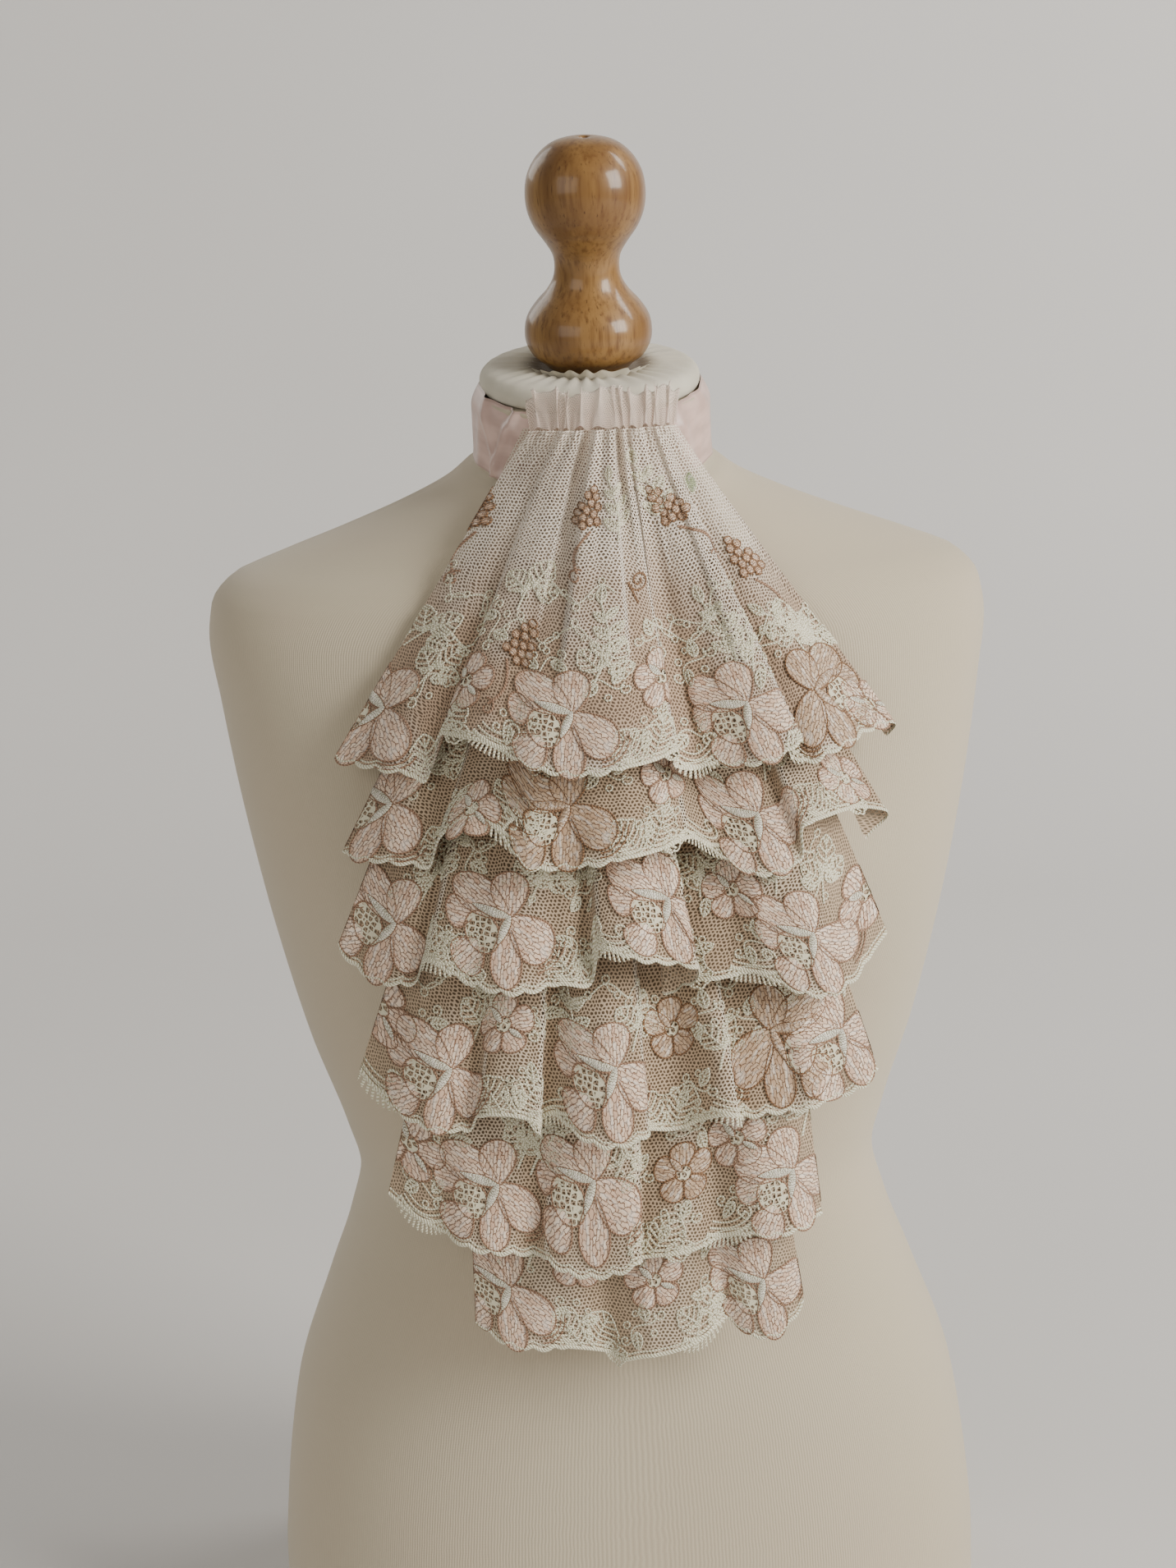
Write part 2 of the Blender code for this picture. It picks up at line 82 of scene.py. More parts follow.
def camera_matrix():
    """Place and axes of a view turned by yaw, tipped by pitch and rolled about its own axis."""
    forward = np.array([
        math.sin(CAMERA_YAW) * math.cos(CAMERA_PITCH),
        math.cos(CAMERA_YAW) * math.cos(CAMERA_PITCH),
        -math.sin(CAMERA_PITCH),
    ])
    level = np.array([math.cos(CAMERA_YAW), -math.sin(CAMERA_YAW), 0.0])
    above = np.cross(level, forward)
    right = math.cos(CAMERA_ROLL) * level - math.sin(CAMERA_ROLL) * above
    up = math.sin(CAMERA_ROLL) * level + math.cos(CAMERA_ROLL) * above
    return standing(right, up, -forward, CAMERA_AIM - CAMERA_DISTANCE * forward)


lens = bpy.data.cameras.new("camera")
lens.sensor_width = SENSOR_MM
lens.lens = FOCAL_PIXELS / PHOTO_HEIGHT * SENSOR_MM
lens.shift_x = (PHOTO_WIDTH / 2 - AIM_COLUMN) / PHOTO_HEIGHT
camera = bpy.data.objects.new("camera", lens)
bpy.context.scene.collection.objects.link(camera)
camera.matrix_world = camera_matrix()
bpy.context.scene.camera = camera
print("camera at", [round(v, 3) for v in camera.matrix_world.translation], "lens", round(lens.lens, 1))

# %% [markdown]
# Meshes from grids.
# A cloth is a grid of points: rows one way, columns the other. Writing whole arrays into a mesh
# is quick and keeps the formula of each surface in one place. Each grid carries a UV map in
# millimetres, so that a net or a stitch has its real size in the material.

# %% Mesh helpers
WELD_DISTANCE = 1e-6


def grid_faces(rows, columns, closed=False):
    """Four corners of each cell of a grid; a closed grid's last column joins its first."""
    across = columns if closed else columns - 1
    row, column = np.meshgrid(np.arange(rows - 1), np.arange(across), indexing="ij")
    after = (column + 1) % columns
    corners = [row * columns + column, (row + 1) * columns + column, (row + 1) * columns + after,
               row * columns + after]
    return np.stack(corners, axis=-1).reshape(-1, 4)


def add_piece(name, points, faces, finishes, flat=None, slots=None, tone=None):
    """A smooth mesh of quads; flat holds each point's place on the cloth in millimetres."""
    mesh = bpy.data.meshes.new(name)
    points = np.asarray(points, float).reshape(-1, 3)
    mesh.vertices.add(len(points))
    mesh.vertices.foreach_set("co", points.astype(np.float32).ravel())
    mesh.loops.add(len(faces) * 4)
    mesh.loops.foreach_set("vertex_index", faces.astype(np.int32).ravel())
    mesh.polygons.add(len(faces))
    mesh.polygons.foreach_set("loop_start", np.arange(0, len(faces) * 4, 4, dtype=np.int32))
    mesh.polygons.foreach_set("use_smooth", np.ones(len(faces), bool))
    for finish in finishes:
        mesh.materials.append(finish)
    if slots is not None:
        mesh.polygons.foreach_set("material_index", slots.astype(np.int32))
    if flat is not None:
        layer = mesh.uv_layers.new(name="flat_mm")
        layer.data.foreach_set("uv", flat.reshape(-1, 2)[faces.ravel()].astype(np.float32).ravel())
    if tone is not None:
        shade = mesh.attributes.new("tone", "FLOAT", "POINT")
        shade.data.foreach_set("value", tone.astype(np.float32).ravel())
    mesh.update(calc_edges=True)
    mesh.validate()
    piece = bpy.data.objects.new(name, mesh)
    bpy.context.scene.collection.objects.link(piece)
    return piece


def add_grid(name, points, finish, flat=None, closed=False, tone=None):
    """A sheet from a grid of points, shape (rows, columns, 3), with its first row on top."""
    faces = grid_faces(points.shape[0], points.shape[1], closed)
    return add_piece(name, points, faces, [finish], flat, None, tone)


def weld(piece):
    """Joins the points of a ring that was drawn in to one place."""
    work = bmesh.new()
    work.from_mesh(piece.data)
    bmesh.ops.remove_doubles(work, verts=work.verts, dist=WELD_DISTANCE)
    work.to_mesh(piece.data)
    work.free()


print("a grid of 3 rows and 4 columns has", len(grid_faces(3, 4)), "faces")

# %% [markdown]
# Curves through tables.
# A maker notes a handful of sizes and lets the curve between them run smoothly. The same few
# helpers serve the form's sections, the knob's profile and the hems of the tiers.

# %% Curve helpers
SHORTEST = 1e-12


def unit(vectors):
    """Each vector divided by its length."""
    return vectors / np.maximum(np.linalg.norm(vectors, axis=-1, keepdims=True), SHORTEST)


def running_sum(steps):
    """Sum of the steps so far, from 0."""
    return np.concatenate([[0], np.cumsum(steps)])


def smooth_between(keys, values, at):
    """Cubic curve through a table's column that never overshoots its rows."""
    keys = np.asarray(keys, float)
    values = np.asarray(values, float)
    at = np.asarray(at, float)
    step = np.diff(keys)
    slope = np.diff(values) / step
    tangent = np.zeros(len(keys))
    same_way = slope[:-1] * slope[1:] > 0
    pair_sum = np.where(same_way, slope[:-1] + slope[1:], 1.0)
    tangent[1:-1] = np.where(same_way, 2 * slope[:-1] * slope[1:] / pair_sum, 0.0)
    tangent[0] = slope[0]
    tangent[-1] = slope[-1]
    span = np.clip(np.searchsorted(keys, at) - 1, 0, len(step) - 1)
    along = np.clip((at - keys[span]) / step[span], 0.0, 1.0)
    back = 1 - along
    start = (1 + 2 * along) * back**2 * values[span]
    leave = along * back**2 * step[span] * tangent[span]
    end = along**2 * (3 - 2 * along) * values[span + 1]
    arrive = along**2 * (along - 1) * step[span] * tangent[span + 1]
    return start + leave + end + arrive


def table_column(rows, column, at):
    """One named column of a table at the heights given in metres."""
    return smooth_between([row.height for row in rows], [getattr(row, column) for row in rows],
                          np.asarray(at) / MM)


def smooth_path(points, steps):
    """Centripetal curve through the points, sampled the same number of times in each span."""
    points = np.asarray(points, float)
    points = np.vstack([2 * points[0] - points[1], points, 2 * points[-1] - points[-2]])
    knots = running_sum(np.linalg.norm(np.diff(points[:, :2], axis=0), axis=1) ** 0.5)
    pieces = []
    for i in range(1, len(points) - 2):
        t0, t1, t2, t3 = knots[i - 1 : i + 3]
        p0, p1, p2, p3 = points[i - 1 : i + 3]
        t = np.linspace(t1, t2, steps, endpoint=False)[:, None]
        a1 = (t1 - t) / (t1 - t0) * p0 + (t - t0) / (t1 - t0) * p1
        a2 = (t2 - t) / (t2 - t1) * p1 + (t - t1) / (t2 - t1) * p2
        a3 = (t3 - t) / (t3 - t2) * p2 + (t - t2) / (t3 - t2) * p3
        b1 = (t2 - t) / (t2 - t0) * a1 + (t - t0) / (t2 - t0) * a2
        b2 = (t3 - t) / (t3 - t1) * a2 + (t - t1) / (t3 - t1) * a3
        pieces.append((t2 - t) / (t2 - t1) * b1 + (t - t1) / (t2 - t1) * b2)
    pieces.append(points[-2:-1])
    return np.vstack(pieces)


def rounded(path, rounds):
    """The path with its bends eased by averaging neighbours; both ends stay."""
    path = path.copy()
    for _ in range(rounds):
        path[1:-1] = (path[:-2] + 2 * path[1:-1] + path[2:]) / 4
    return path


def bump(at, centre, width):
    """Bell curve: 1 at the centre, falling to nothing a few widths away."""
    return np.exp(-(((at - centre) / width) ** 2))


def round_angles(count):
    """Angles of the columns of a closed grid."""
    return np.arange(count) * 2 * math.pi / count


def carried_round(radius, rise, angle):
    """A profile carried round an axis: its radius times the cosine and sine, and its rise."""
    return np.stack(np.broadcast_arrays(radius * np.cos(angle), radius * np.sin(angle), rise), axis=-1)


def flat_round(up, columns, half_girth):
    """Flat map of a closed grid: it runs out and back round the piece, so that its ends meet."""
    across = np.abs(np.linspace(-1, 1, columns)) * half_girth
    return np.stack(np.broadcast_arrays(across, up), axis=-1)


print("half way between the rows 1 and 3:", float(smooth_between([0, 1], [1, 3], 0.5)))

# %% [markdown]
# Finishes from nodes.
# Each finish is a Principled surface whose colour, roughness and bump come from patterns with a
# real scale. These few helpers wire nodes in one line each, so that a finish below reads like a
# recipe.

# %% Node helpers
def colour(red, green, blue):
    """A screen colour, 0 to 255, as the linear colour that a shader takes."""
    value = np.array([red, green, blue]) / 255
    linear = np.where(value <= 0.04045, value / 12.92, ((value + 0.055) / 1.055) ** 2.4)
    return (*[float(v) for v in linear], 1.0)


class Finish:
    """A material with a Principled surface and short ways to add nodes to it."""

    def __init__(self, name, roughness):
        self.material = bpy.data.materials.new(name)
        self.material.use_nodes = True
        self.tree = self.material.node_tree
        self.surface = self.tree.nodes["Principled BSDF"]
        self.surface.inputs["Roughness"].default_value = roughness

    def feed(self, entry, value):
        """Links a socket to the entry, or sets the entry to a plain value."""
        if isinstance(value, bpy.types.NodeSocket):
            self.tree.links.new(value, entry)
        else:
            entry.default_value = value

    def node(self, kind, result=0, **settings):
        """Adds a node with its settings and entries, and returns one of its outputs."""
        made = self.tree.nodes.new(kind)
        entries = settings.pop("entries", {})
        for key, value in settings.items():
            setattr(made, key, value)
        for key, value in entries.items():
            self.feed(made.inputs[key], value)
        return made.outputs[result]

    def calc(self, operation, *values):
        """One sum on numbers."""
        return self.node("ShaderNodeMath", operation=operation, entries=dict(enumerate(values)))

    def vector(self, operation, *values, result=0):
        """One sum on vectors; result 1 is the output of those that give a number."""
        entries = dict(enumerate(values))
        return self.node("ShaderNodeVectorMath", result, operation=operation, entries=entries)

    def flat(self):
        """Place on the cloth in millimetres."""
        return self.node("ShaderNodeUVMap", uv_map="flat_mm")

    def parts(self, vector):
        """First two numbers of a vector."""
        split = self.tree.nodes.new("ShaderNodeSeparateXYZ")
        self.feed(split.inputs[0], vector)
        return split.outputs[0], split.outputs[1]

    def place(self):
        """Place in the part's own frame, in metres."""
        return self.node("ShaderNodeTexCoord", "Object")

    def scaled(self, vector, size, turn=(0, 0, 0)):
        """The vector turned and stretched, so that a pattern on it is drawn out one way."""
        entries = {"Vector": vector, "Scale": size, "Rotation": turn}
        return self.node("ShaderNodeMapping", entries=entries)

    def noise(self, vector, scale, detail=2.0, result="Fac"):
        """Clouds about 1 / scale across, as a number or, with result Color, as a vector."""
        entries = {"Vector": vector, "Scale": scale, "Detail": detail}
        return self.node("ShaderNodeTexNoise", result, entries=entries)

    def waver(self, scale, detail, size):
        """Drift of the flat map, by which a regular pattern is made uneven."""
        drift = self.vector("SCALE", self.noise(self.flat(), scale, detail, "Color"))
        drift.node.inputs["Scale"].default_value = size
        return drift

    def stripes(self, measure, pitch, drift=0.0):
        """Sine of a measure in millimetres, with one wave to a pitch, shifted by a drift."""
        return self.calc("SINE", self.calc("MULTIPLY_ADD", measure, 2 * math.pi / pitch, drift))

    def ramp(self, value, low, high, start=0.0, end=1.0):
        """Smooth step from start to end as the value goes from low to high."""
        entries = {0: value, 1: low, 2: high, 3: start, 4: end}
        return self.node("ShaderNodeMapRange", interpolation_type="SMOOTHSTEP", entries=entries)

    def mix(self, share, first, second):
        """First colour where the share is 0, second where it is 1."""
        made = self.tree.nodes.new("ShaderNodeMix")
        made.data_type = "RGBA"
        self.feed(made.inputs[0], share)
        self.feed(made.inputs[6], first)
        self.feed(made.inputs[7], second)
        return made.outputs[2]

    def relief(self, height, strength, distance):
        """Fine bump of the surface, its depth in metres."""
        entries = {"Height": height, "Strength": strength, "Distance": distance}
        self.feed(self.surface.inputs["Normal"], self.node("ShaderNodeBump", entries=entries))

    def set(self, **values):
        """Sets or links the surface's entries by name."""
        for key, value in values.items():
            self.feed(self.surface.inputs[key.replace("_", " ")], value)


print("middle grey of a screen as a linear colour:", round(colour(128, 128, 128)[0], 3))

# %% [markdown]
# The form.
# A display form is a padded torso covered in a seamless tube of ribbed jersey. Its cover is a loft
# through level sections: each is a rounded oval, wider or squarer by its row in the table, fuller
# in front at the bust and tilted where it runs into the neck. A jersey's ribs run up the form, so
# they are drawn in the material from the distance round it, with a fine bump.

# %% Form cover
Section = namedtuple("Section", "height half_width front back squareness tilt")
FORM_SECTIONS = [
    Section(0, 186, 109, 115, 2.5, 0),
    Section(8, 188.5, 111, 118, 2.5, 0),
    Section(45, 188.5, 113, 123, 2.5, 0),
    Section(80, 186, 113, 124, 2.5, 0),
    Section(140, 177.5, 111, 119, 2.45, 0),
    Section(200, 157, 105, 106, 2.4, 0),
    Section(235, 144, 100, 97, 2.35, 0),
    Section(265, 137, 97, 92, 2.3, 0),
    Section(290, 143, 98, 93, 2.3, 0),
    Section(340, 159.5, 104, 99, 2.35, 0),
    Section(400, 174, 114, 105, 2.45, 0),
    Section(435, 181, 117, 108, 2.5, 0),
    Section(475, 188, 112, 110, 2.6, 0),
    Section(520, 194.5, 100, 109, 2.7, 0),
    Section(550, 198.5, 90, 104, 2.6, 1),
    Section(567, 196.5, 84, 98, 2.35, 2),
    Section(579, 187, 79, 93, 2.1, 3),
    Section(588, 166, 75.5, 89, 1.9, 4),
    Section(600, 132.5, 71.5, 84, 1.8, 5),
    Section(612, 100, 67.5, 78, 1.8, 7),
    Section(622, 77, 64.5, 71, 1.9, 9.5),
    Section(629.5, 66, 62.5, 65, 2.0, 12),
    Section(635, 59.2, 60.2, 60.2, 2.0, 14.5),
    Section(650, 58.3, 59.4, 59.0, 2.0, 15),
    Section(662, 57.9, 58.8, 58.4, 2.0, 13.5),
    Section(668, 57.4, 58, 57.8, 2.0, 12),
]
FORM_COLUMNS = 180
FORM_RING_STEP = 3.5
SHOULDER_TOP = 600
SHOULDER_RINGS = 60
FORM_GIRTH = 940.0
BUST_ACROSS = 80 * MM
BUST_HEIGHT = 432 * MM
BUST_RISE = 12 * MM
BUST_REACH = 48 * MM
NECK_SEAM_HEIGHT = 631.0
NECK_SEAM_DEPTH = 0.9
NECK_SEAM_WIDTH = 1.3
CLOSING_REACHES = (0.0, 0.5, 0.98)


def form_surface(height, angle):
    """Rounded oval: x and y are powers of the angle's cosine and sine, times the section's
    half width and reach; the bust adds a bell in front and the tilt lifts z with y."""
    half_width = table_column(FORM_SECTIONS, "half_width", height)
    front = table_column(FORM_SECTIONS, "front", height)
    back = table_column(FORM_SECTIONS, "back", height)
    seam = NECK_SEAM_DEPTH * bump(height / MM, NECK_SEAM_HEIGHT, NECK_SEAM_WIDTH)
    power = 2 / table_column(FORM_SECTIONS, "squareness", height)
    tilt = np.tan(np.radians(table_column(FORM_SECTIONS, "tilt", height)))
    x = (half_width - seam) * MM * np.sign(np.cos(angle)) * np.abs(np.cos(angle)) ** power
    reach = (np.where(np.sin(angle) < 0, front, back) - seam) * MM
    y = reach * np.sign(np.sin(angle)) * np.abs(np.sin(angle)) ** power
    apart = (np.abs(x) - BUST_ACROSS) ** 2 + (height - BUST_HEIGHT) ** 2
    rise = BUST_RISE * np.exp(-apart / BUST_REACH**2)
    y = y - np.where(np.sin(angle) < 0, rise * np.abs(np.sin(angle)), 0)
    return np.stack([x, y, height + y * tilt], axis=-1)


def closed_with_centres(points):
    """The grid with its first and last ring drawn in to a point, so that the body is closed."""
    first = points[0].mean(axis=0)
    last = points[-1].mean(axis=0)
    inward = [first + (points[0] - first) * reach for reach in CLOSING_REACHES]
    outward = [last + (points[-1] - last) * reach for reach in reversed(CLOSING_REACHES)]
    return np.concatenate([np.stack(inward), points, np.stack(outward)])


RIB_PITCH = 1.3
STITCH_PITCH = 0.9
JERSEY_RIB = colour(202, 190, 167)
JERSEY_GROOVE = colour(192, 180, 156)
JERSEY_WORN = colour(199, 184, 160)


def jersey_finish():
    """Rib knit: ridges side by side round the form with painted shade in the grooves, stitches along them, a
    soft nap.
    """
    jersey = Finish("cream_jersey", 0.92)
    round_form, up = jersey.parts(jersey.flat())
    drift = jersey.calc("MULTIPLY", jersey.noise(jersey.flat(), 0.12, 2), 5.0)
    ribs = jersey.stripes(round_form, RIB_PITCH, drift)
    stitches = jersey.stripes(up, STITCH_PITCH)
    cloudy = jersey.noise(jersey.place(), 9.0, 3)
    # Painted shade: the grooves between the ribs take the darker colour.
    shade = jersey.mix(jersey.ramp(ribs, -1.0, 0.6), JERSEY_GROOVE, JERSEY_RIB)
    mottle_and_shade = jersey.mix(jersey.ramp(cloudy, 0.35, 0.7), shade, jersey.mix(0.5, shade, JERSEY_WORN))
    jersey.set(Base_Color=mottle_and_shade, Sheen_Weight=0.25, Sheen_Roughness=0.6, Specular_IOR_Level=0.2)
    jersey.relief(jersey.calc("MULTIPLY_ADD", stitches, 0.15, ribs), 0.28, 0.0002)
    return jersey.material


heights = np.concatenate([
    np.arange(FORM_SECTIONS[0].height, SHOULDER_TOP, FORM_RING_STEP),
    np.linspace(SHOULDER_TOP, FORM_SECTIONS[-1].height, SHOULDER_RINGS),
]) * MM
cover = closed_with_centres(form_surface(heights[:, None], round_angles(FORM_COLUMNS)[None, :]))
cover_flat = flat_round(cover[..., 2] / MM, FORM_COLUMNS, FORM_GIRTH / 2)
form_cover = add_grid("form_cover", cover[::-1], jersey_finish(), cover_flat[::-1], closed=True)
weld(form_cover)
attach(form_cover, "root")
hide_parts("form_body")
print("form cover:", len(form_cover.data.polygons), "faces")

# %% [markdown]
# The cap.
# The neck is closed by a round pad. Its cover is drawn up by a thread round the foot of the knob,
# so its top is full of radial gathers. They could be painted on, but the light rakes over them, so
# they are real: a cosine round the pad whose spacing is itself uneven.

# %% Cap
NECK_TILT = math.radians(12.0)
CAP_BASE_HEIGHT = 668.4 * MM
CapRing = namedtuple("CapRing", "radius rise gather")
CAP_RINGS = [
    CapRing(52.5, 0.0, 0.0), CapRing(54.6, 1.0, 0.0), CapRing(55.4, 2.6, 0.0), CapRing(55.7, 4.4, 0.0),
    CapRing(55.4, 6.6, 0.0), CapRing(54.4, 8.6, 0.05), CapRing(52.4, 10.4, 0.1), CapRing(49.6, 11.4, 0.2),
    CapRing(45.0, 11.9, 0.35), CapRing(39.0, 12.1, 0.6), CapRing(34.0, 12.0, 0.85), CapRing(30.0, 11.8, 1.0),
    CapRing(27.5, 11.4, 0.9), CapRing(25.5, 11.2, 0.5), CapRing(23.6, 10.9, 0.0),
]
CAP_STEPS = 3
CAP_COLUMNS = 256
CAP_GATHERS = 34
CAP_GATHER_RISE = 1.0
CAP_GATHER_SPREAD = 0.25
CAP_HALF_GIRTH = 170.0
COTTON_PITCH = 0.45
# Where the painted shadow round the knob's foot is full and where it ends, in flat millimetres.
SHADOWED_WITHIN = 37
UNSHADOWED_BEYOND = 50


def on_neck(points):
    """Points given about the neck's own axis, in millimetres, as metres on the tilted neck."""
    x, y, z = np.moveaxis(np.asarray(points, float) * MM, -1, 0)
    cosine, sine = math.cos(NECK_TILT), math.sin(NECK_TILT)
    return np.stack([x, y * cosine - z * sine, y * sine + z * cosine + CAP_BASE_HEIGHT], axis=-1)


def uneven_gathers(angle, count):
    """Cosine round the circle whose phase wanders, so that no two gathers are as wide."""
    wander = 0.9 * np.sin(3 * angle + 0.7) + 0.6 * np.sin(5 * angle + 2.1) + 0.4 * np.sin(8 * angle)
    return np.cos(count * angle + wander) * (0.75 + 0.25 * np.sin(7 * angle + 1.3))


def cotton_finish():
    """Plain woven cotton: a fine check of threads, a little dirt, and painted shadow near the knob."""
    cotton = Finish("gathered_cotton", 0.88)
    across, up = cotton.parts(cotton.flat())
    weft = cotton.stripes(across, COTTON_PITCH)
    warp = cotton.stripes(up, COTTON_PITCH)
    cloudy = cotton.noise(cotton.place(), 45.0, 3)
    shade = cotton.mix(cotton.ramp(cloudy, 0.3, 0.75), colour(204, 198, 180), colour(220, 214, 198))
    # Painted shadow: the cover turns dark brown towards the knob's foot, for the shade of the hollow under
    # the knob.
    shade = cotton.mix(cotton.ramp(up, SHADOWED_WITHIN, UNSHADOWED_BEYOND), colour(120, 106, 88), shade)
    cotton.set(Base_Color=shade, Sheen_Weight=0.2, Specular_IOR_Level=0.2)
    cotton.relief(cotton.calc("MULTIPLY", weft, warp), 0.35, 0.0002)
    return cotton.material


cap_angle = round_angles(CAP_COLUMNS)
cap_rows = smooth_path([(ring.radius, ring.rise, ring.gather) for ring in CAP_RINGS], CAP_STEPS)
cap_radius, cap_rise, cap_gather = np.split(cap_rows, 3, axis=1)
gather = cap_gather * uneven_gathers(cap_angle, CAP_GATHERS)
cap = carried_round(cap_radius + CAP_GATHER_SPREAD * gather, cap_rise + CAP_GATHER_RISE * gather, cap_angle)
cap = closed_with_centres(on_neck(cap))
cap_flat = flat_round(cap_radius + cap_rise, CAP_COLUMNS, CAP_HALF_GIRTH)
edge_rows = len(CLOSING_REACHES)
cap_flat = np.concatenate([cap_flat[:1]] * edge_rows + [cap_flat] + [cap_flat[-1:]] * edge_rows)
cotton = cotton_finish()
cap_cover = add_grid("cap_cover", cap[::-1], cotton, cap_flat[::-1], closed=True)
weld(cap_cover)
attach(cap_cover, "root")
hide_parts("form_cap")

print("cap:", len(cap_cover.data.polygons), "faces")

# %% [markdown]
# The ruffle.
# Where the thread draws the cap's cloth together, its hem stands up round the foot of the knob. It
# is a strip on a circle that flares and waves more the higher it stands, and it is tallest in
# front, where the cloth was pulled up.

# %% Ruffle round the knob's foot
RUFFLE_COLUMNS = 300
RUFFLE_ROWS = 7
RUFFLE_WAVES = 23
RUFFLE_RADIUS = 29.5
RUFFLE_FLARE = 3.2
RUFFLE_SWING = 1.7
RUFFLE_SEAT = 10.6
RUFFLE_HEIGHT = 6.5
RUFFLE_BEHIND = 0.22
RUFFLE_HALF_GIRTH = 150
# The ruffle's flat map starts beyond the cap's painted shadow, so the ruffle is not darkened.
RUFFLE_FLAT_START = 60
ruffle_angle = round_angles(RUFFLE_COLUMNS)
ruffle_rise = np.linspace(0, 1, RUFFLE_ROWS)[:, None]
in_front = RUFFLE_BEHIND + (1 - RUFFLE_BEHIND) * np.clip(-np.sin(ruffle_angle), 0, 1) ** 1.5
wave = uneven_gathers(ruffle_angle, RUFFLE_WAVES)
ruffle_radius = RUFFLE_RADIUS + RUFFLE_FLARE * ruffle_rise * in_front + RUFFLE_SWING * wave * ruffle_rise
ruffle_height = RUFFLE_SEAT + RUFFLE_HEIGHT * ruffle_rise * in_front * (0.8 + 0.25 * wave)
ruffle = on_neck(carried_round(ruffle_radius, ruffle_height, ruffle_angle))
ruffle_flat = flat_round(ruffle_rise * RUFFLE_HEIGHT + RUFFLE_FLAT_START, RUFFLE_COLUMNS, RUFFLE_HALF_GIRTH)
cap_ruffle = add_grid("cap_ruffle", ruffle[::-1], cotton, ruffle_flat[::-1], closed=True)
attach(cap_ruffle, "root")
print("ruffle:", len(cap_ruffle.data.polygons), "faces")

# %% [markdown]
# The knob.
# It is turned on a lathe from one block of beech and varnished. The profile is a short table of
# radii up the axis, made smooth and carried round. Beech shows fine darker flecks along the grain
# and soft bands and streaks of growth, and the varnish gives a clear gloss over them.

# %% Knob
KNOB_SEAT = 11.2
KnobRing = namedtuple("KnobRing", "rise radius")
KNOB_PROFILE = [
    KnobRing(0, 21.0), KnobRing(2, 23.0), KnobRing(6, 28.0), KnobRing(12, 31.3), KnobRing(18, 32.0),
    KnobRing(25, 30.6), KnobRing(32, 26.0), KnobRing(38, 20.6), KnobRing(44, 17.2), KnobRing(50, 16.2),
    KnobRing(56, 17.0), KnobRing(62, 20.4), KnobRing(70, 25.9), KnobRing(78, 29.0), KnobRing(87, 29.8),
    KnobRing(96, 28.2), KnobRing(104, 23.6), KnobRing(110, 16.5), KnobRing(112.6, 8.0), KnobRing(112.8, 3.0),
    KnobRing(112.2, 2.2), KnobRing(109, 2.0),
]
KNOB_STEPS = 5
KNOB_COLUMNS = 96


def beech_finish():
    """Growth bands and flecks drawn out along the axis, under a thin coat of varnish."""
    beech = Finish("varnished_beech", 0.42)
    upright = (-NECK_TILT, 0, 0)
    bands = beech.noise(beech.scaled(beech.place(), (55, 55, 4.5), upright), 1.0, 4)
    flecks = beech.noise(beech.scaled(beech.place(), (900, 900, 90), upright), 1.0, 2)
    streaks = beech.noise(beech.scaled(beech.place(), (420, 420, 12), upright), 1.0, 3)
    wood = beech.mix(beech.ramp(bands, 0.32, 0.68), colour(116, 81, 42), colour(150, 114, 66))
    grain = beech.mix(beech.ramp(streaks, 0.42, 0.80), wood, colour(106, 70, 34))
    shade = beech.mix(beech.ramp(flecks, 0.58, 0.80), grain, colour(84, 54, 26))
    beech.set(Base_Color=shade, Coat_Weight=0.5, Coat_Roughness=0.14, Specular_IOR_Level=0.3)
    beech.relief(flecks, 0.12, 0.0001)
    return beech.material


knob_rows = smooth_path([(ring.radius, ring.rise) for ring in KNOB_PROFILE], KNOB_STEPS)
knob_radius, knob_rise = np.split(knob_rows, 2, axis=1)
knob = on_neck(carried_round(knob_radius, knob_rise + KNOB_SEAT, round_angles(KNOB_COLUMNS)))
turned_knob = add_grid("turned_knob", closed_with_centres(knob)[::-1], beech_finish(), closed=True)
weld(turned_knob)
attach(turned_knob, "root")
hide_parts("neck_knob")
print("knob:", len(turned_knob.data.polygons), "faces")

# %% [markdown]
# The ribbon.
# A satin ribbon goes once round the neck, lower in front, and laps at the back. Satin is creased
# easily: here it buckles beside the gathered lace. The creases are ridges that run slantwise
# across the band, each with its own place, slant and height.

# %% Neck ribbon
RIBBON_HALF_WIDTH = 60.4
RIBBON_HALF_DEPTH = 61.6
RIBBON_LOWER = 637.2
RIBBON_UPPER = 672.5
RIBBON_TILT = math.radians(16.0)
RIBBON_LAP = math.radians(12)
RIBBON_LAP_STEP = 0.8
RIBBON_LEAN = 5.0
RIBBON_LEAN_FROM = 0.72
RIBBON_BACK_RISE = 13.5
RIBBON_EDGE_CURL = 0.35
RIBBON_EDGE_WIDTH = 0.07
RIBBON_EDGE_WAVE = 0.5
RIBBON_DEEPEST = -0.35
RIBBON_COLUMNS = 420
RIBBON_ROWS = 26
RibbonCrease = namedtuple("RibbonCrease", "turn slant width height")
RIBBON_CREASES = [
    RibbonCrease(-50, 14, 2.6, 2.7), RibbonCrease(-43, -10, 2.0, -0.9), RibbonCrease(-60, -16, 2.6, 1.7),
    RibbonCrease(-70, 7, 5.0, 0.9), RibbonCrease(-36, 12, 2.4, 1.6), RibbonCrease(-84, -4, 5.0, 0.5),
    RibbonCrease(-110, 5, 6.0, 0.6),
    RibbonCrease(47, -8, 3.6, 1.7), RibbonCrease(58, 5, 2.8, -0.6), RibbonCrease(72, -6, 5.0, 0.9),
    RibbonCrease(39, -6, 2.6, 1.0), RibbonCrease(100, 5, 6.0, 0.6), RibbonCrease(150, -8, 4.0, 0.9),
    RibbonCrease(-148, 7, 4.0, 0.8), RibbonCrease(128, 6, 5.0, -0.4), RibbonCrease(168, 4, 3.0, 0.7),
]


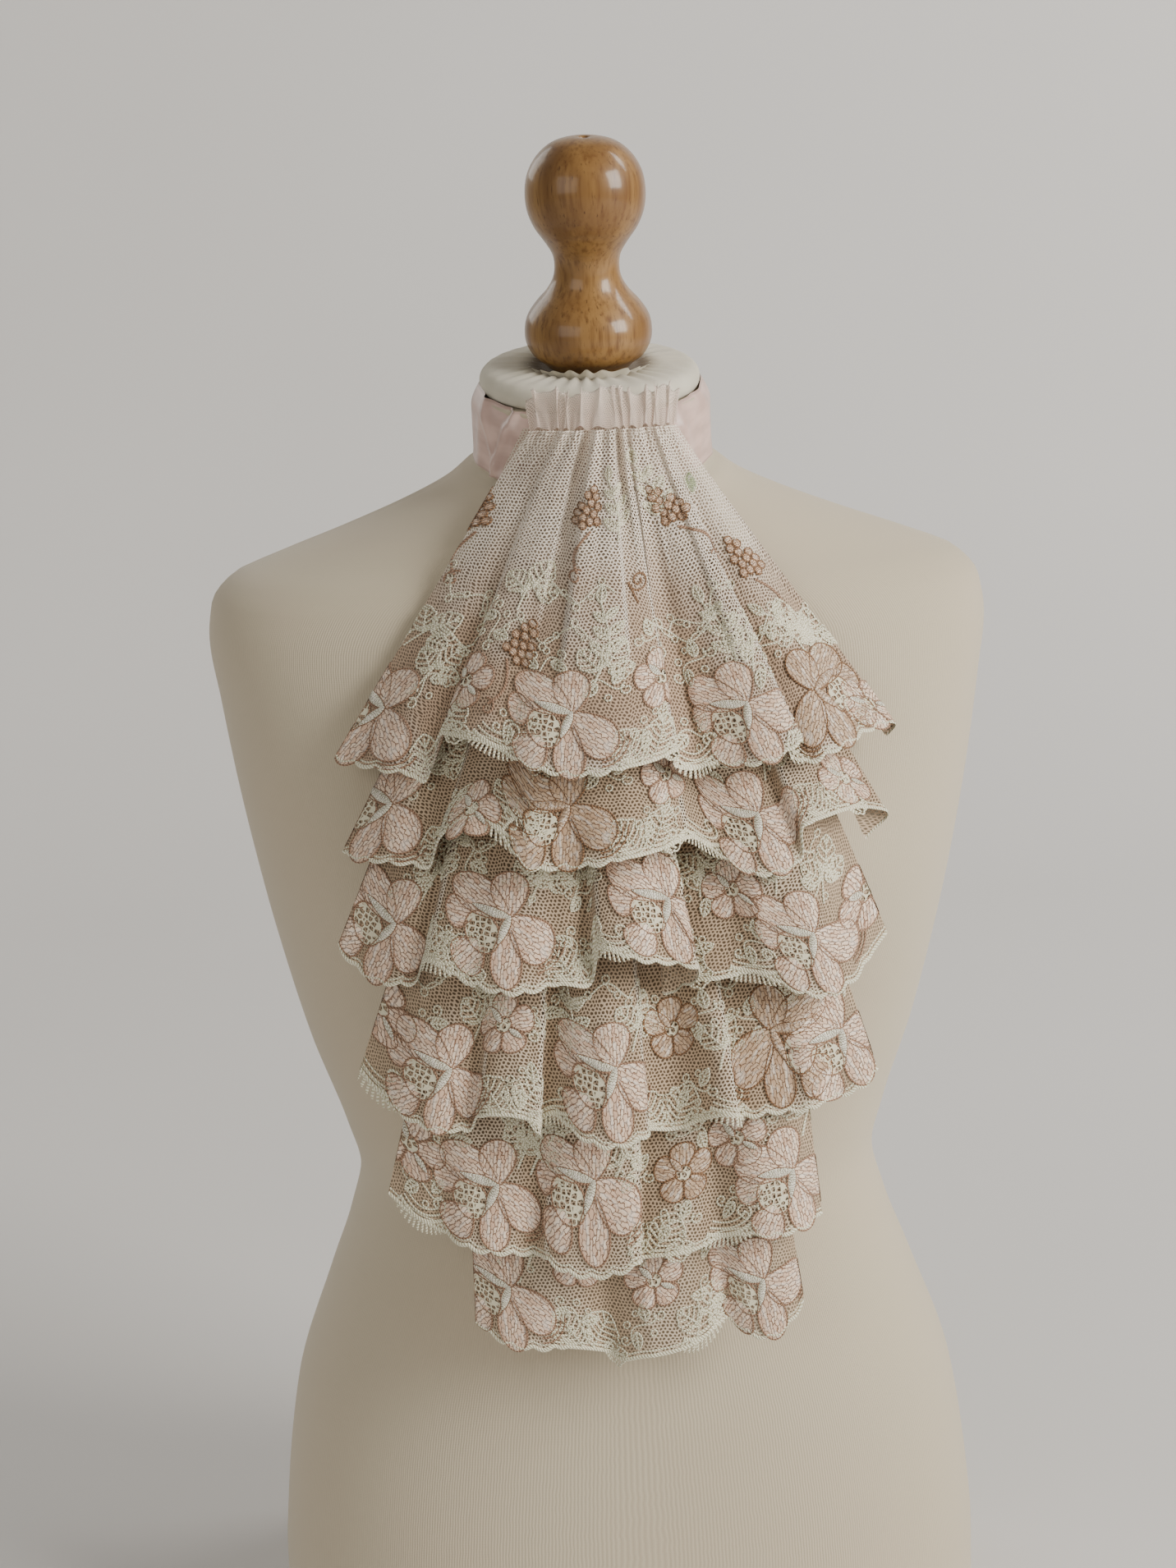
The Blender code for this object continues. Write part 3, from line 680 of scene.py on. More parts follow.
def ribbon_surface(turn, up):
    """Band round the neck: an oval whose radius grows along it, plus slanting creases; up runs
    from the lower edge, 0, to the upper edge, 1, and each edge curls out a little."""
    half_turn = math.pi + RIBBON_LAP
    lapped = RIBBON_LAP_STEP * turn / half_turn
    out = lapped
    for crease in RIBBON_CREASES:
        centre = np.radians(crease.turn + crease.slant * (up - 0.5))
        out = out + crease.height * bump(turn, centre, math.radians(crease.width))
    out = out + RIBBON_EDGE_CURL * (bump(up, 0, RIBBON_EDGE_WIDTH) + bump(up, 1, RIBBON_EDGE_WIDTH))
    out = np.maximum(out, RIBBON_DEEPEST + lapped)
    out = out - RIBBON_LEAN * np.clip((up - RIBBON_LEAN_FROM) / (1 - RIBBON_LEAN_FROM), 0, 1) ** 1.5
    x = (RIBBON_HALF_WIDTH + out) * np.sin(turn)
    y = -(RIBBON_HALF_DEPTH + out) * np.cos(turn)
    edge = RIBBON_EDGE_WAVE * np.sin(3 * turn + 1) * np.where(up > 0.5, 1, -1) * np.abs(2 * up - 1)
    lower = RIBBON_LOWER + y * math.tan(RIBBON_TILT)
    behind = RIBBON_BACK_RISE * (np.maximum(y, 0) / RIBBON_HALF_DEPTH) ** 2
    upper = RIBBON_UPPER + np.minimum(y, 0) * math.tan(RIBBON_TILT) + behind
    z = lower + (upper - lower) * up + edge
    return np.stack([x, y, z], axis=-1) * MM


SATIN_MIDDLE = 17.6
SATIN_BORDER = 16.2
SATIN_RIM = 17.0


def satin_finish():
    """Satin weave: long smooth floats along the ribbon, a corded edge, a soft directed sheen."""
    satin = Finish("pink_satin", 0.26)
    along, up = satin.parts(satin.flat())
    floats = satin.noise(satin.scaled(satin.flat(), (0.35, 7.0, 1.0)), 1.0, 3)
    cloudy = satin.noise(satin.scaled(satin.flat(), (0.05, 0.12, 1.0)), 1.0, 2)
    edge = satin.calc("ABSOLUTE", satin.calc("SUBTRACT", up, SATIN_MIDDLE))
    base = satin.mix(satin.ramp(cloudy, 0.3, 0.7), colour(200, 170, 160), colour(224, 194, 182))
    shade = satin.mix(satin.ramp(edge, SATIN_BORDER, SATIN_RIM), base, colour(186, 158, 148))
    satin.set(Base_Color=shade, Sheen_Weight=0.35, Sheen_Roughness=0.35, Anisotropic=0.6)
    satin.relief(floats, 0.25, 0.0002)
    return satin.material


turn = np.linspace(-1, 1, RIBBON_COLUMNS) * (math.pi + RIBBON_LAP)
up = np.linspace(1, 0, RIBBON_ROWS)
ribbon = ribbon_surface(turn[None, :], up[:, None])
RIBBON_LENGTH = (RIBBON_HALF_WIDTH + RIBBON_HALF_DEPTH) / 2 * 2 * (math.pi + RIBBON_LAP)
RIBBON_WIDTH = RIBBON_UPPER - RIBBON_LOWER
ribbon_flat = np.stack(np.broadcast_arrays(
    np.linspace(0, RIBBON_LENGTH, RIBBON_COLUMNS)[None, :], RIBBON_WIDTH * up[:, None]), axis=-1)
satin_ribbon = add_grid("satin_ribbon", ribbon, satin_finish(), ribbon_flat)
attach(satin_ribbon, "root")
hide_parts("neck_ribbon")
print("ribbon: %.0f x %.0f mm" % (RIBBON_LENGTH, RIBBON_WIDTH))

# %% [markdown]
# The surface that the jabot hangs on.
# The strips lie on the ribbon and the chest as far as the bust and then drop straight. The same
# table of sizes gives that front here and in the solids, so both lie in one place. Each strip
# also has to clear the one beneath it. A coarse map of depth, read and written like a picture,
# remembers how far forward the cloth already hung reaches at each place.

# %% Hang surface and depth map
Hang = namedtuple("Hang", "height forward bow")
HANG_LINE = [
    Hang(190, 134.0, 0.0003), Hang(300, 135.5, 0.0003), Hang(380, 135.5, 0.0004), Hang(432, 134.5, 0.0005),
    Hang(470, 128.0, 0.0006), Hang(505, 118.0, 0.0008), Hang(540, 104.5, 0.0012), Hang(570, 91.0, 0.0018),
    Hang(600, 77.0, 0.0032), Hang(618, 68.2, 0.0052), Hang(636, 64.0, 0.0078), Hang(672, 64.0, 0.0088),
]
CLOTH_WALL = 1.0 * MM
SEAM_GAP = 0.3 * MM
TIER_CLEARANCE = 1.0 * MM
MAP_CELL = 2.5 * MM
MAP_HALF_WIDTH = 170 * MM
MAP_LOWER = 180 * MM
MAP_UPPER = 680 * MM
MAP_LAST_CELL = 1.001
NEAR_CELLS = 2
WIDE_CELLS = 4
WIDE_SOFTENING = 6


def hang_front(across, height):
    """Distance forward: a smooth curve of the height, less a bow that grows with the square of
    the distance from the middle."""
    forward = table_column(HANG_LINE, "forward", height)
    bow = table_column(HANG_LINE, "bow", height)
    return (forward - bow * (across / MM) ** 2) * MM


def empty_map():
    """A map with nothing hung yet: rows up the form, columns across it."""
    across_cells = int(2 * MAP_HALF_WIDTH / MAP_CELL) + 1
    height_cells = int((MAP_UPPER - MAP_LOWER) / MAP_CELL) + 1
    return np.zeros((height_cells, across_cells))


def widened(grid, rounds):
    """Each cell takes the largest value among its neighbours, as many times as asked."""
    for _ in range(rounds):
        padded = np.pad(grid, 1, mode="edge")
        grid = np.max([padded[1:-1, 1:-1], padded[:-2, 1:-1], padded[2:, 1:-1], padded[1:-1, :-2],
                       padded[1:-1, 2:]], axis=0)
    return grid


def softened(grid, rounds):
    """Each cell takes the mean of its neighbours, as many times as asked."""
    for _ in range(rounds):
        padded = np.pad(grid, 1, mode="edge")
        grid = (padded[:-2, 1:-1] + padded[2:, 1:-1] + padded[1:-1, :-2] + padded[1:-1, 2:]) / 4
    return grid


def deepest(points, depth):
    """Largest depth of the cloth in each cell of the map."""
    grid = empty_map()
    columns = np.rint((points[..., 0] + MAP_HALF_WIDTH) / MAP_CELL).astype(int)
    rows = np.rint((points[..., 2] - MAP_LOWER) / MAP_CELL).astype(int)
    np.maximum.at(grid, (rows.ravel(), columns.ravel()), depth.ravel())
    return grid


def map_of(points, depth):
    """Outer depth of a strip, widened a little so that the next one hangs clear."""
    grid = deepest(points, depth + CLOTH_WALL + TIER_CLEARANCE)
    near = widened(grid, NEAR_CELLS)
    return np.maximum(near, softened(widened(grid, WIDE_CELLS), WIDE_SOFTENING))


def read_map(grid, across, height):
    """Value of the map between its cells."""
    column = np.clip((across + MAP_HALF_WIDTH) / MAP_CELL, 0, grid.shape[1] - MAP_LAST_CELL)
    row = np.clip((height - MAP_LOWER) / MAP_CELL, 0, grid.shape[0] - MAP_LAST_CELL)
    c = column.astype(int)
    r = row.astype(int)
    u = column - c
    w = row - r
    low = grid[r, c] * (1 - u) + grid[r, c + 1] * u
    high = grid[r + 1, c] * (1 - u) + grid[r + 1, c + 1] * u
    return low * (1 - w) + high * w


print("depth map: %d by %d cells" % empty_map().shape)

# %% [markdown]
# The cut and the folds of the tiers.
# Each tier is one strip of tulle, gathered at its heading, so its fullness opens out into folds
# at the hem. A row of the table describes one panel between two folds as it is seen from above.
# The creases that break up a panel are placed one by one, at uneven distances, as soft ridges
# and troughs.

# %% Tier tables
Fold = namedtuple("Fold", "left right lift_left lift_middle lift_right hem_left hem_middle hem_right "
                  "tuck under hem_under")
Crease = namedtuple("Crease", "share height width start end lean", defaults=(0.0,))
Tier = namedtuple("Tier", "name heading half_width shift gathers folds creases")
TIERS = [
    Tier("tier_1", 651, 36, 3, 10, [
        Fold(-134, -89, 3, 8, 4, 503, 501, 492, 0, 0, 0),
        Fold(-86, -55, 8, 15, 14, 515, 516, 511, 0, 0, 0),
        Fold(-50, 27, 17, 23, 15, 509, 505, 509, 5, 6, 502),
        Fold(34, 87, 3, 19, 16, 497, 502, 512, 10, 8, 503),
        Fold(88, 139, 5, 13, 8, 497, 507, 506, 6, 1, 499),
    ], [
        Crease(0.07, -0.8, 0.030, 0.0, 0.80), Crease(0.20, 4.0, 0.045, 0.0, 0.92, -0.9),
        Crease(0.30, 1.0, 0.030, 0.0, 0.60), Crease(0.352, 2.4, 0.035, 0.0, 0.70, 0.85),
        Crease(0.378, -3.4, 0.018, 0.0, 0.55), Crease(0.425, 4.4, 0.040, 0.0, 0.85, -0.9),
        Crease(0.49, -0.6, 0.020, 0.0, 0.50), Crease(0.562, 4.0, 0.040, 0.0, 0.75, 0.9),
        Crease(0.588, -3.0, 0.014, 0.0, 0.45), Crease(0.618, 2.4, 0.018, 0.0, 0.50, -0.8),
        Crease(0.672, 3.9, 0.040, 0.0, 0.90, -0.9), Crease(0.752, 1.8, 0.030, 0.0, 0.50, 0.8),
        Crease(0.84, 3.0, 0.045, 0.0, 0.85, -0.85), Crease(0.93, 1.0, 0.025, 0.0, 0.60),
    ]),
    Tier("tier_2", 608, 54, 5, 10, [
        Fold(-132, -90, 3, 9, 3, 460, 460, 454, 0, 0, 0),
        Fold(-88, -50, 10, 17, 20, 467, 481, 464, 0, 0, 0),
        Fold(-46, 30, 21, 23, 15, 462, 464, 468, 0, 0, 0),
        Fold(38, 85, 9, 6, 3, 462, 450, 455, 0, 0, 0),
        Fold(83, 132, 11, 15, 7, 468, 472, 465, 14, 0.8, 454),
    ], [
        Crease(0.07, 0.9, 0.016, 0.45, 1.1), Crease(0.20, -0.8, 0.014, 0.5, 1.1),
        Crease(0.31, 1.0, 0.018, 0.4, 1.1), Crease(0.44, -0.7, 0.016, 0.5, 1.1),
        Crease(0.53, 1.1, 0.020, 0.45, 1.1), Crease(0.66, -0.8, 0.014, 0.5, 1.1),
        Crease(0.77, 0.9, 0.018, 0.4, 1.1), Crease(0.90, -0.7, 0.014, 0.5, 1.1),
    ]),
    Tier("tier_3", 556, 72, -2, 11, [
        Fold(-137, -98, 3, 9, 3, 415, 403, 401, 0, 0, 0),
        Fold(-96, -16, 13, 21, 9, 413, 404, 402, 0, 0, 0),
        Fold(-15, 34, 18, 24, 19, 421, 415, 408, 19, 6, 391),
        Fold(14, 58, 2, 4, 11, 396, 397, 400, 0, 0, 0),
        Fold(63, 128, 13, 16, 4, 399, 391, 408, 0, 0, 0),
    ], [
        Crease(0.05, 0.8, 0.014, 0.5, 1.1), Crease(0.16, -0.8, 0.014, 0.45, 1.1),
        Crease(0.24, 1.0, 0.016, 0.4, 1.1), Crease(0.33, -0.9, 0.014, 0.5, 1.1),
        Crease(0.42, 0.9, 0.016, 0.45, 1.1), Crease(0.55, 0.8, 0.016, 0.5, 1.1),
        Crease(0.68, -0.8, 0.014, 0.4, 1.1), Crease(0.81, 1.1, 0.018, 0.45, 1.1),
        Crease(0.92, -0.7, 0.014, 0.5, 1.1),
    ]),
    Tier("tier_4", 502, 74, -2, 11, [
        Fold(-130, -76, 3, 11, 4, 352, 334, 329, 0, 0, 0),
        Fold(-74, -43, 11, 17, 16, 337, 338, 331, 4, 9, 331),
        Fold(-38, 8, 9, 19, 14, 337, 327, 329, 5, 6, 326),
        Fold(9, 31, 3, 3, 8, 325, 322, 327, 0, 0, 0),
        Fold(35, 52, 11, 15, 13, 329, 332, 330, 4, 6, 328),
        Fold(54, 86, 3, 4, 9, 328, 332, 331, 0, 0, 0),
        Fold(90, 121, 10, 12, 4, 333, 335, 343, 0, 0, 0),
    ], [
        Crease(0.06, 0.9, 0.016, 0.4, 1.1), Crease(0.14, -0.7, 0.014, 0.5, 1.1),
        Crease(0.27, 0.8, 0.014, 0.45, 1.1), Crease(0.45, 0.9, 0.016, 0.5, 1.1),
        Crease(0.58, -0.8, 0.012, 0.4, 1.1), Crease(0.70, 0.8, 0.014, 0.5, 1.1),
        Crease(0.88, 0.9, 0.016, 0.45, 1.1),
    ]),
    Tier("tier_5", 448, 77, -2, 11, [
        Fold(-119, -47, 3, 11, 4, 290, 270, 261, 0, 0, 0),
        Fold(-45, 3, 11, 18, 14, 262, 256, 260, 5, 7, 257),
        Fold(4, 38, 3, 7, 3, 257, 259, 263, 0, 0, 0),
        Fold(42, 92, 4, 12, 4, 264, 269, 272, 0, 0, 0),
    ], [
        Crease(0.07, 0.9, 0.016, 0.4, 1.1), Crease(0.18, -0.9, 0.016, 0.5, 1.1),
        Crease(0.30, 0.9, 0.016, 0.45, 1.1), Crease(0.48, -0.8, 0.014, 0.4, 1.1),
        Crease(0.62, 0.8, 0.014, 0.5, 1.1), Crease(0.86, 0.9, 0.018, 0.45, 1.1),
    ]),
    Tier("tier_6", 378, 70, -8, 9, [
        Fold(-79, -12, 3, 11, 4, 224, 211, 202, 0, 0, 0),
        Fold(-9, 41, 7, 14, 7, 199, 205, 217, 0, 0, 0),
        Fold(45, 83, 3, 10, 3, 219, 211, 225, 0, 0, 0),
    ], [
        Crease(0.08, 0.8, 0.018, 0.4, 1.1), Crease(0.25, -0.8, 0.018, 0.5, 1.1),
        Crease(0.52, 0.9, 0.018, 0.45, 1.1), Crease(0.83, 0.8, 0.018, 0.4, 1.1),
    ]),
]
GATHER_RISE = 1.3
GATHER_FADE = 0.18
LIFT_OPENING = 0.55
BEND_WEIGHT = 1.2
PATH_STEPS = 24
PATH_STEP = 1.0
FOLD_ROUNDING = 20
UPPER_ROUNDING = 90
SHARP_FROM = 0.7
LEAST_LIFT = 0.6
NEAR_EDGE = np.array([0.65, 0.35, 0.45])
EDGE_STEP = 3.5
HEADING_FROM = [0, 0.16, 0.27, 0.55, 0.77, 1]
HEADING_TO = [0, 0.22, 0.37, 0.71, 0.90, 1]


def hem_points(tier):
    """Points of a hem seen from above: across, lift and height, five to a panel and one for
    the cloth that is tucked behind its right edge."""
    points = []
    for fold in tier.folds:
        left = np.array([fold.left, fold.lift_left, fold.hem_left], float)
        right = np.array([fold.right, fold.lift_right, fold.hem_right], float)
        middle = np.array([(fold.left + fold.right) / 2, fold.lift_middle, fold.hem_middle], float)
        near_left = left * NEAR_EDGE + middle * (1 - NEAR_EDGE)
        near_right = right * NEAR_EDGE + middle * (1 - NEAR_EDGE)
        points += [left, near_left, middle, near_right, right]
        if fold.tuck > 0:
            points.append(np.array([fold.right - fold.tuck, fold.under, fold.hem_under], float))
    return np.array(points)


def standing_edges(tier):
    """Across and lift of each panel edge that stands well in front of the panel beside it."""
    edges = []
    for fold, beside in zip(tier.folds, tier.folds[1:]):
        step = fold.lift_right - beside.lift_left
        if step > EDGE_STEP:
            edges.append((fold.right, fold.lift_right))
        if step < -EDGE_STEP:
            edges.append((beside.left, beside.lift_left))
    return edges


print("panels:", {tier.name: len(tier.folds) for tier in TIERS})

# %% [markdown]
# A gathered strip as a surface of two parameters.
# s runs along the hem in millimetres and v from the heading, 0, to the hem, 1. At the heading the
# whole strip is drawn together, so a place keeps its share of the way along, not its distance.
# Between the two the strip opens: its place is the mean of both, weighted by v, and its fold
# stands out with a power of v, quickly at first as gathers do. The embroidery asks the same
# surface for its points, a little way out along the normal.

# %% Gathered strip
CREASE_FADE = 0.25
DOUBLED_OFFSET = 0.1
DOUBLED_SHARE = 0.0035
EDGE_DOUBLED = 0.8
EDGE_WIDTH = 1.5
EDGE_FADE = 0.3
FINER_GATHERS = 3.3
GATHERS_LEFT = 0.04
STEP_ALONG = 0.4
STEP_DOWN = 0.004
SPREAD_STEP = 4.0
SPREAD_LIMITS = (0.3, 1.2)
SEARCHED_LEVELS = (0.1, 1.0, 181)
FRONT_PREFERRED = 0.15
TURNED_AWAY = 0.02


def crease_strength(crease, v):
    """Share of a crease's height: it grows from its start, if that is below the heading, and
    fades out before its end."""
    begun = 1.0 if crease.start == 0 else np.clip((v - crease.start) / CREASE_FADE, 0, 1)
    return begun * np.clip((crease.end - v) / CREASE_FADE, 0, 1)


class TierCloth:
    """One strip as it hangs: its hem seen from above, and the surface from heading to hem."""

    def __init__(self, tier, under_map):
        self.tier = tier
        self.under_map = under_map
        path = smooth_path(hem_points(tier), PATH_STEPS)
        path[:, 1] = np.maximum(path[:, 1], LEAST_LIFT)
        along = running_sum(np.linalg.norm(np.diff(path[:, :2], axis=0), axis=1))
        even = np.linspace(0, along[-1], int(along[-1] / PATH_STEP) + 1)
        path = np.stack([np.interp(even, along, path[:, k]) for k in range(3)], axis=1)
        self.path = rounded(path, FOLD_ROUNDING)
        self.upper = rounded(self.path, UPPER_ROUNDING)
        plan = np.diff(self.path[:, :2], axis=0)
        length = np.linalg.norm(plan, axis=1)
        heading = np.unwrap(np.arctan2(plan[:, 1], plan[:, 0]))
        turn = np.abs(np.diff(heading, prepend=heading[0]))
        measure = running_sum(length + BEND_WEIGHT * turn)
        self.along = running_sum(length)
        self.share = measure / measure[-1]
        if tier.name == "tier_1":
            self.share = np.interp(self.share, HEADING_FROM, HEADING_TO)
        self.length = self.along[-1]
        self.fold_edges = [self.nearest(*edge) for edge in standing_edges(tier)]

    def nearest(self, across, lift):
        """Place along the hem that is nearest to a spot seen from above."""
        return self.along[np.argmin(np.hypot(self.path[:, 0] - across, self.path[:, 1] - lift))]

    def relief(self, share, v):
        """Sum of bells across the strip, each with its own height, width and stretch of v; a bell
        that leans is wide on one side and steep on the other."""
        total = np.zeros(np.broadcast(share, v).shape)
        for crease in self.tier.creases:
            width = crease.width * np.where(share < crease.share, 1 + crease.lean, 1 - crease.lean)
            ridge = crease.height * bump(share, crease.share, width)
            total = total + ridge * crease_strength(crease, v)
        return total

    def edges(self, s, v):
        """How near a place is to an edge where the tulle looks doubled, from 0 to 1: the steep
        side of a leaning crease, or a panel's edge that stands in front of its neighbour."""
        share = np.interp(s, self.along, self.share)
        near = np.zeros(np.broadcast(share, v).shape)
        for crease in self.tier.creases:
            place = crease.share + DOUBLED_OFFSET * crease.width * np.sign(crease.lean)
            near = near + abs(crease.lean) * bump(share, place, DOUBLED_SHARE) * crease_strength(crease, v)
        for place in self.fold_edges:
            near = near + EDGE_DOUBLED * bump(s, place, EDGE_WIDTH) * np.clip(v / EDGE_FADE, 0, 1)
        return np.clip(near, 0, 1)

    def shape(self, s, v):
        """Place and depth: across and height are means of heading and hem, weighted by v; the
        depth adds the cloth beneath, the gathers, the fold's lift and the creases. The gathers are
        two sines of the share whose phase wanders, and they fade a little below the heading."""
        s, v = np.broadcast_arrays(np.asarray(s, float), np.asarray(v, float))
        share = np.interp(s, self.along, self.share)
        sharp = np.clip(v / SHARP_FROM, 0, 1)
        hem = [np.interp(s, self.along, self.path[:, k]) * sharp
               + np.interp(s, self.along, self.upper[:, k]) * (1 - sharp) for k in range(3)]
        top = self.tier.shift + self.tier.half_width * (2 * share - 1)
        across = (top + (hem[0] - top) * v) * MM
        height = (self.tier.heading + (hem[2] - self.tier.heading) * v) * MM
        wander = 0.8 * np.sin(9 * share + 1) + 0.6 * np.sin(23 * share)
        phase = 2 * math.pi * self.tier.gathers * share
        wave = 1 + 0.6 * np.sin(phase + wander) + 0.4 * np.sin(FINER_GATHERS * phase + 2 * wander)
        fade = np.clip(1 - v / GATHER_FADE, 0, 1) ** 2
        gathers = GATHER_RISE * wave * (GATHERS_LEFT + (1 - GATHERS_LEFT) * fade) * (1 - v)
        lift = (gathers + hem[1] * v**LIFT_OPENING + self.relief(share, v)) * MM
        depth = read_map(self.under_map, across, height) + lift
        forward = hang_front(across, height) + SEAM_GAP + CLOTH_WALL / 2 + depth
        return np.stack([across, -forward, height], axis=-1), depth

    def lay(self, s, v, rise):
        """Points at a height, in millimetres, above the strip along its normal."""
        place = self.shape(s, v)[0]
        across = self.shape(s + STEP_ALONG, v)[0] - self.shape(s - STEP_ALONG, v)[0]
        down = self.shape(s, v + STEP_DOWN)[0] - self.shape(s, np.maximum(v - STEP_DOWN, 0))[0]
        return place + unit(np.cross(down, across)) * np.asarray(rise)[..., None] * MM

    def drop(self, s):
        """Length in millimetres from the heading to the hem."""
        return np.linalg.norm(self.shape(s, 1.0)[0] - self.shape(s, 0.0)[0], axis=-1) / MM

    def spread(self, s, v):
        """How many millimetres of the surface lie in one of the hem's at this level."""
        step = self.shape(s + SPREAD_STEP, v)[0] - self.shape(s - SPREAD_STEP, v)[0]
        return np.clip(np.linalg.norm(step, axis=-1) / MM / (2 * SPREAD_STEP), *SPREAD_LIMITS)

    def find(self, across, height):
        """The place on the strip's front that lies at this spot of the front view."""
        s = np.linspace(0, self.length, int(self.length) + 1)[None, :]
        v = np.linspace(*SEARCHED_LEVELS)[:, None]
        points, depth = self.shape(s, v)
        miss = np.hypot(points[..., 0] - across * MM, points[..., 2] - height * MM)
        facing = np.gradient(points[..., 0], axis=1) <= 0
        score = miss - FRONT_PREFERRED * depth + TURNED_AWAY * facing
        row, column = np.unravel_index(np.argmin(score), score.shape)
        return s[0, column], v[row, 0]


flat_map = empty_map()
print("hems in millimetres:", {tier.name: round(TierCloth(tier, flat_map).length) for tier in TIERS})

# %% [markdown]
# Tulle.
# Bobbinet tulle is a net of near-hexagonal holes, here 2 mm apart. Making each thread would take
# millions of faces, so the net is a pattern of transparency. In a hexagonal grid each place is
# compared with the two nearest cell centres, and where it lies far from both it is thread. The
# threads are painted pale where the net stands out and brown in the folds, as painted shade for
# how the light reaches them, and what is seen through a hole in a fold is partly covered by a
# painted shade for the doubled cloth.

# %% Net finish
ABOVE_ZERO = 900
THREAD_EDGE = 0.05


def hexagon_distance(finish, place, half):
    """Distance from the cell's centre, 0, to its edge, 0.5, measured square to the six sides."""
    cell = (2 * half[0], 2 * half[1], 1.0)
    inside = finish.vector("SUBTRACT", finish.vector("MODULO", place, cell), (half[0], half[1], 0))
    size = finish.vector("ABSOLUTE", inside)
    slant = finish.vector("DOT_PRODUCT", size, (0.5, math.sqrt(0.75), 0), result=1)
    return finish.calc("MAXIMUM", finish.parts(size)[0], slant)


def net_finish(name, pitch, thread, pale, brown, hole, shade_of_hole):
    """Threads of a hexagonal net, pale to brown by tone, a painted shade; thread is its share of a cell.
    A hole in a fold is partly filled with the hole colour, a painted shade. Below zero the tone
    stands for a doubled edge, pale and closed."""
    net = Finish(name, 0.75)
    half = (0.5, math.sqrt(0.75))
    place = net.vector("MULTIPLY_ADD", net.flat(), (1 / pitch, 1 / pitch, 0), (ABOVE_ZERO, ABOVE_ZERO, 0))
    place = net.vector("ADD", place, net.waver(0.22, 1.0, 1.1))
    first = hexagon_distance(net, place, half)
    second = hexagon_distance(net, net.vector("ADD", place, (half[0], half[1], 0)), half)
    rim = net.calc("MINIMUM", first, second)
    inner = 0.5 - thread / 2
    threads = net.ramp(rim, inner - THREAD_EDGE, inner + THREAD_EDGE)
    # Painted shade: the tone attribute browns the threads in folds and on the lower tiers, under a cloudy
    # mottle.
    tone = net.node("ShaderNodeAttribute", 2, attribute_name="tone")
    cloudy = net.noise(net.flat(), 0.06, 2)
    mottle_and_shade = net.calc("MULTIPLY_ADD", cloudy, 0.4, net.calc("SUBTRACT", tone, 0.2))
    shade = net.mix(net.ramp(mottle_and_shade, 0.0, 1.0), pale, brown)
    # Painted shade: in a fold the holes are partly closed with the hole colour.
    veil = net.ramp(tone, 0.05, 0.55, 0.06, shade_of_hole)
    doubled = net.ramp(net.calc("MULTIPLY", tone, -1.0), 0.0, 0.5, 0.0, 0.9)
    behind = net.mix(doubled, hole, pale)
    net.set(Base_Color=net.mix(threads, behind, shade), Sheen_Weight=0.25, Specular_IOR_Level=0.25)
    net.set(Alpha=net.calc("MAXIMUM", threads, net.calc("MAXIMUM", veil, doubled)))
    net.relief(threads, 0.4, 0.0003)
    return net.material


# %% [markdown]
# Embroidery threads.
# Machine embroidery covers a petal with rows of short stitches, edges it with a laid cord, and
# fills the heart of a flower with openwork. A brick pattern gives the rows: a brick is a stitch,
# and its mortar is the gap, in painted shade. Long soft streaks across them are painted
# highlights and painted shade for the gloss of the thread. Cords get their twist from slanted
# stripes, with painted shade between the strands.

# %% Thread finishes
def stitched_finish(name, light, dark, gap, row=1.7, stitch=4.0):
    """Rows of stitches: a brick pattern on the flat map, with its gaps pressed in and painted dark as shade,
    and painted highlights over it.
    """
    thread = Finish(name, 0.45)
    place = thread.vector("ADD", thread.flat(), thread.waver(0.42, 1.5, 2.8))
    brick = thread.node("ShaderNodeTexBrick", "Color", offset=0.5, entries={
        "Vector": place, "Color1": light, "Color2": dark, "Mortar": gap, "Scale": 1.0,
        "Mortar Size": 0.27, "Mortar Smooth": 0.8, "Bias": 0.0, "Brick Width": stitch, "Row Height": row})
    # Painted highlight and painted shade: soft streaks across the rows whiten some stitches and darken
    # others.
    shine = thread.noise(thread.scaled(thread.flat(), (0.16, 0.5, 1.0)), 1.0, 2)
    lit = thread.mix(thread.ramp(shine, 0.48, 0.68, 0.0, 0.55), brick, colour(255, 246, 236))
    shade = thread.mix(thread.ramp(shine, 0.30, 0.46, 0.45, 0.0), lit, dark)
    thread.set(Base_Color=shade, Sheen_Weight=0.35, Sheen_Roughness=0.4, Specular_IOR_Level=0.45)
    height = thread.calc("SUBTRACT", 1.0, brick.node.outputs["Fac"])
    thread.relief(height, 1.0, 0.0006)
    return thread.material


TWIST_PITCH = 1.5
TWIST_SLANT = 3.0


def cord_finish(name, light, dark):
    """Laid cord: slanted strands along it, with painted shade between the strands."""
    cord = Finish(name, 0.55)
    along, side = cord.parts(cord.flat())
    twist = cord.stripes(along, TWIST_PITCH, cord.calc("MULTIPLY", side, TWIST_SLANT))
    shade = cord.mix(cord.ramp(twist, -0.9, 0.5), dark, light)
    cord.set(Base_Color=shade, Sheen_Weight=0.25, Specular_IOR_Level=0.35)
    cord.relief(twist, 0.5, 0.0003)
    return cord.material


def openwork_finish(name, light, dark):
    """Loose net of uneven holes: what lies near the edge of a cell is thread."""
    mesh = Finish(name, 0.6)
    edge = mesh.node("ShaderNodeTexVoronoi", "Distance", feature="DISTANCE_TO_EDGE", entries={
        "Vector": mesh.flat(), "Scale": 0.36, "Randomness": 0.55})
    threads = mesh.calc("SUBTRACT", 1.0, mesh.ramp(edge, 0.10, 0.17))
    shade = mesh.mix(mesh.noise(mesh.flat(), 1.5, 2), dark, light)
    mesh.set(Base_Color=shade, Alpha=threads, Sheen_Weight=0.2, Specular_IOR_Level=0.3)
    return mesh.material


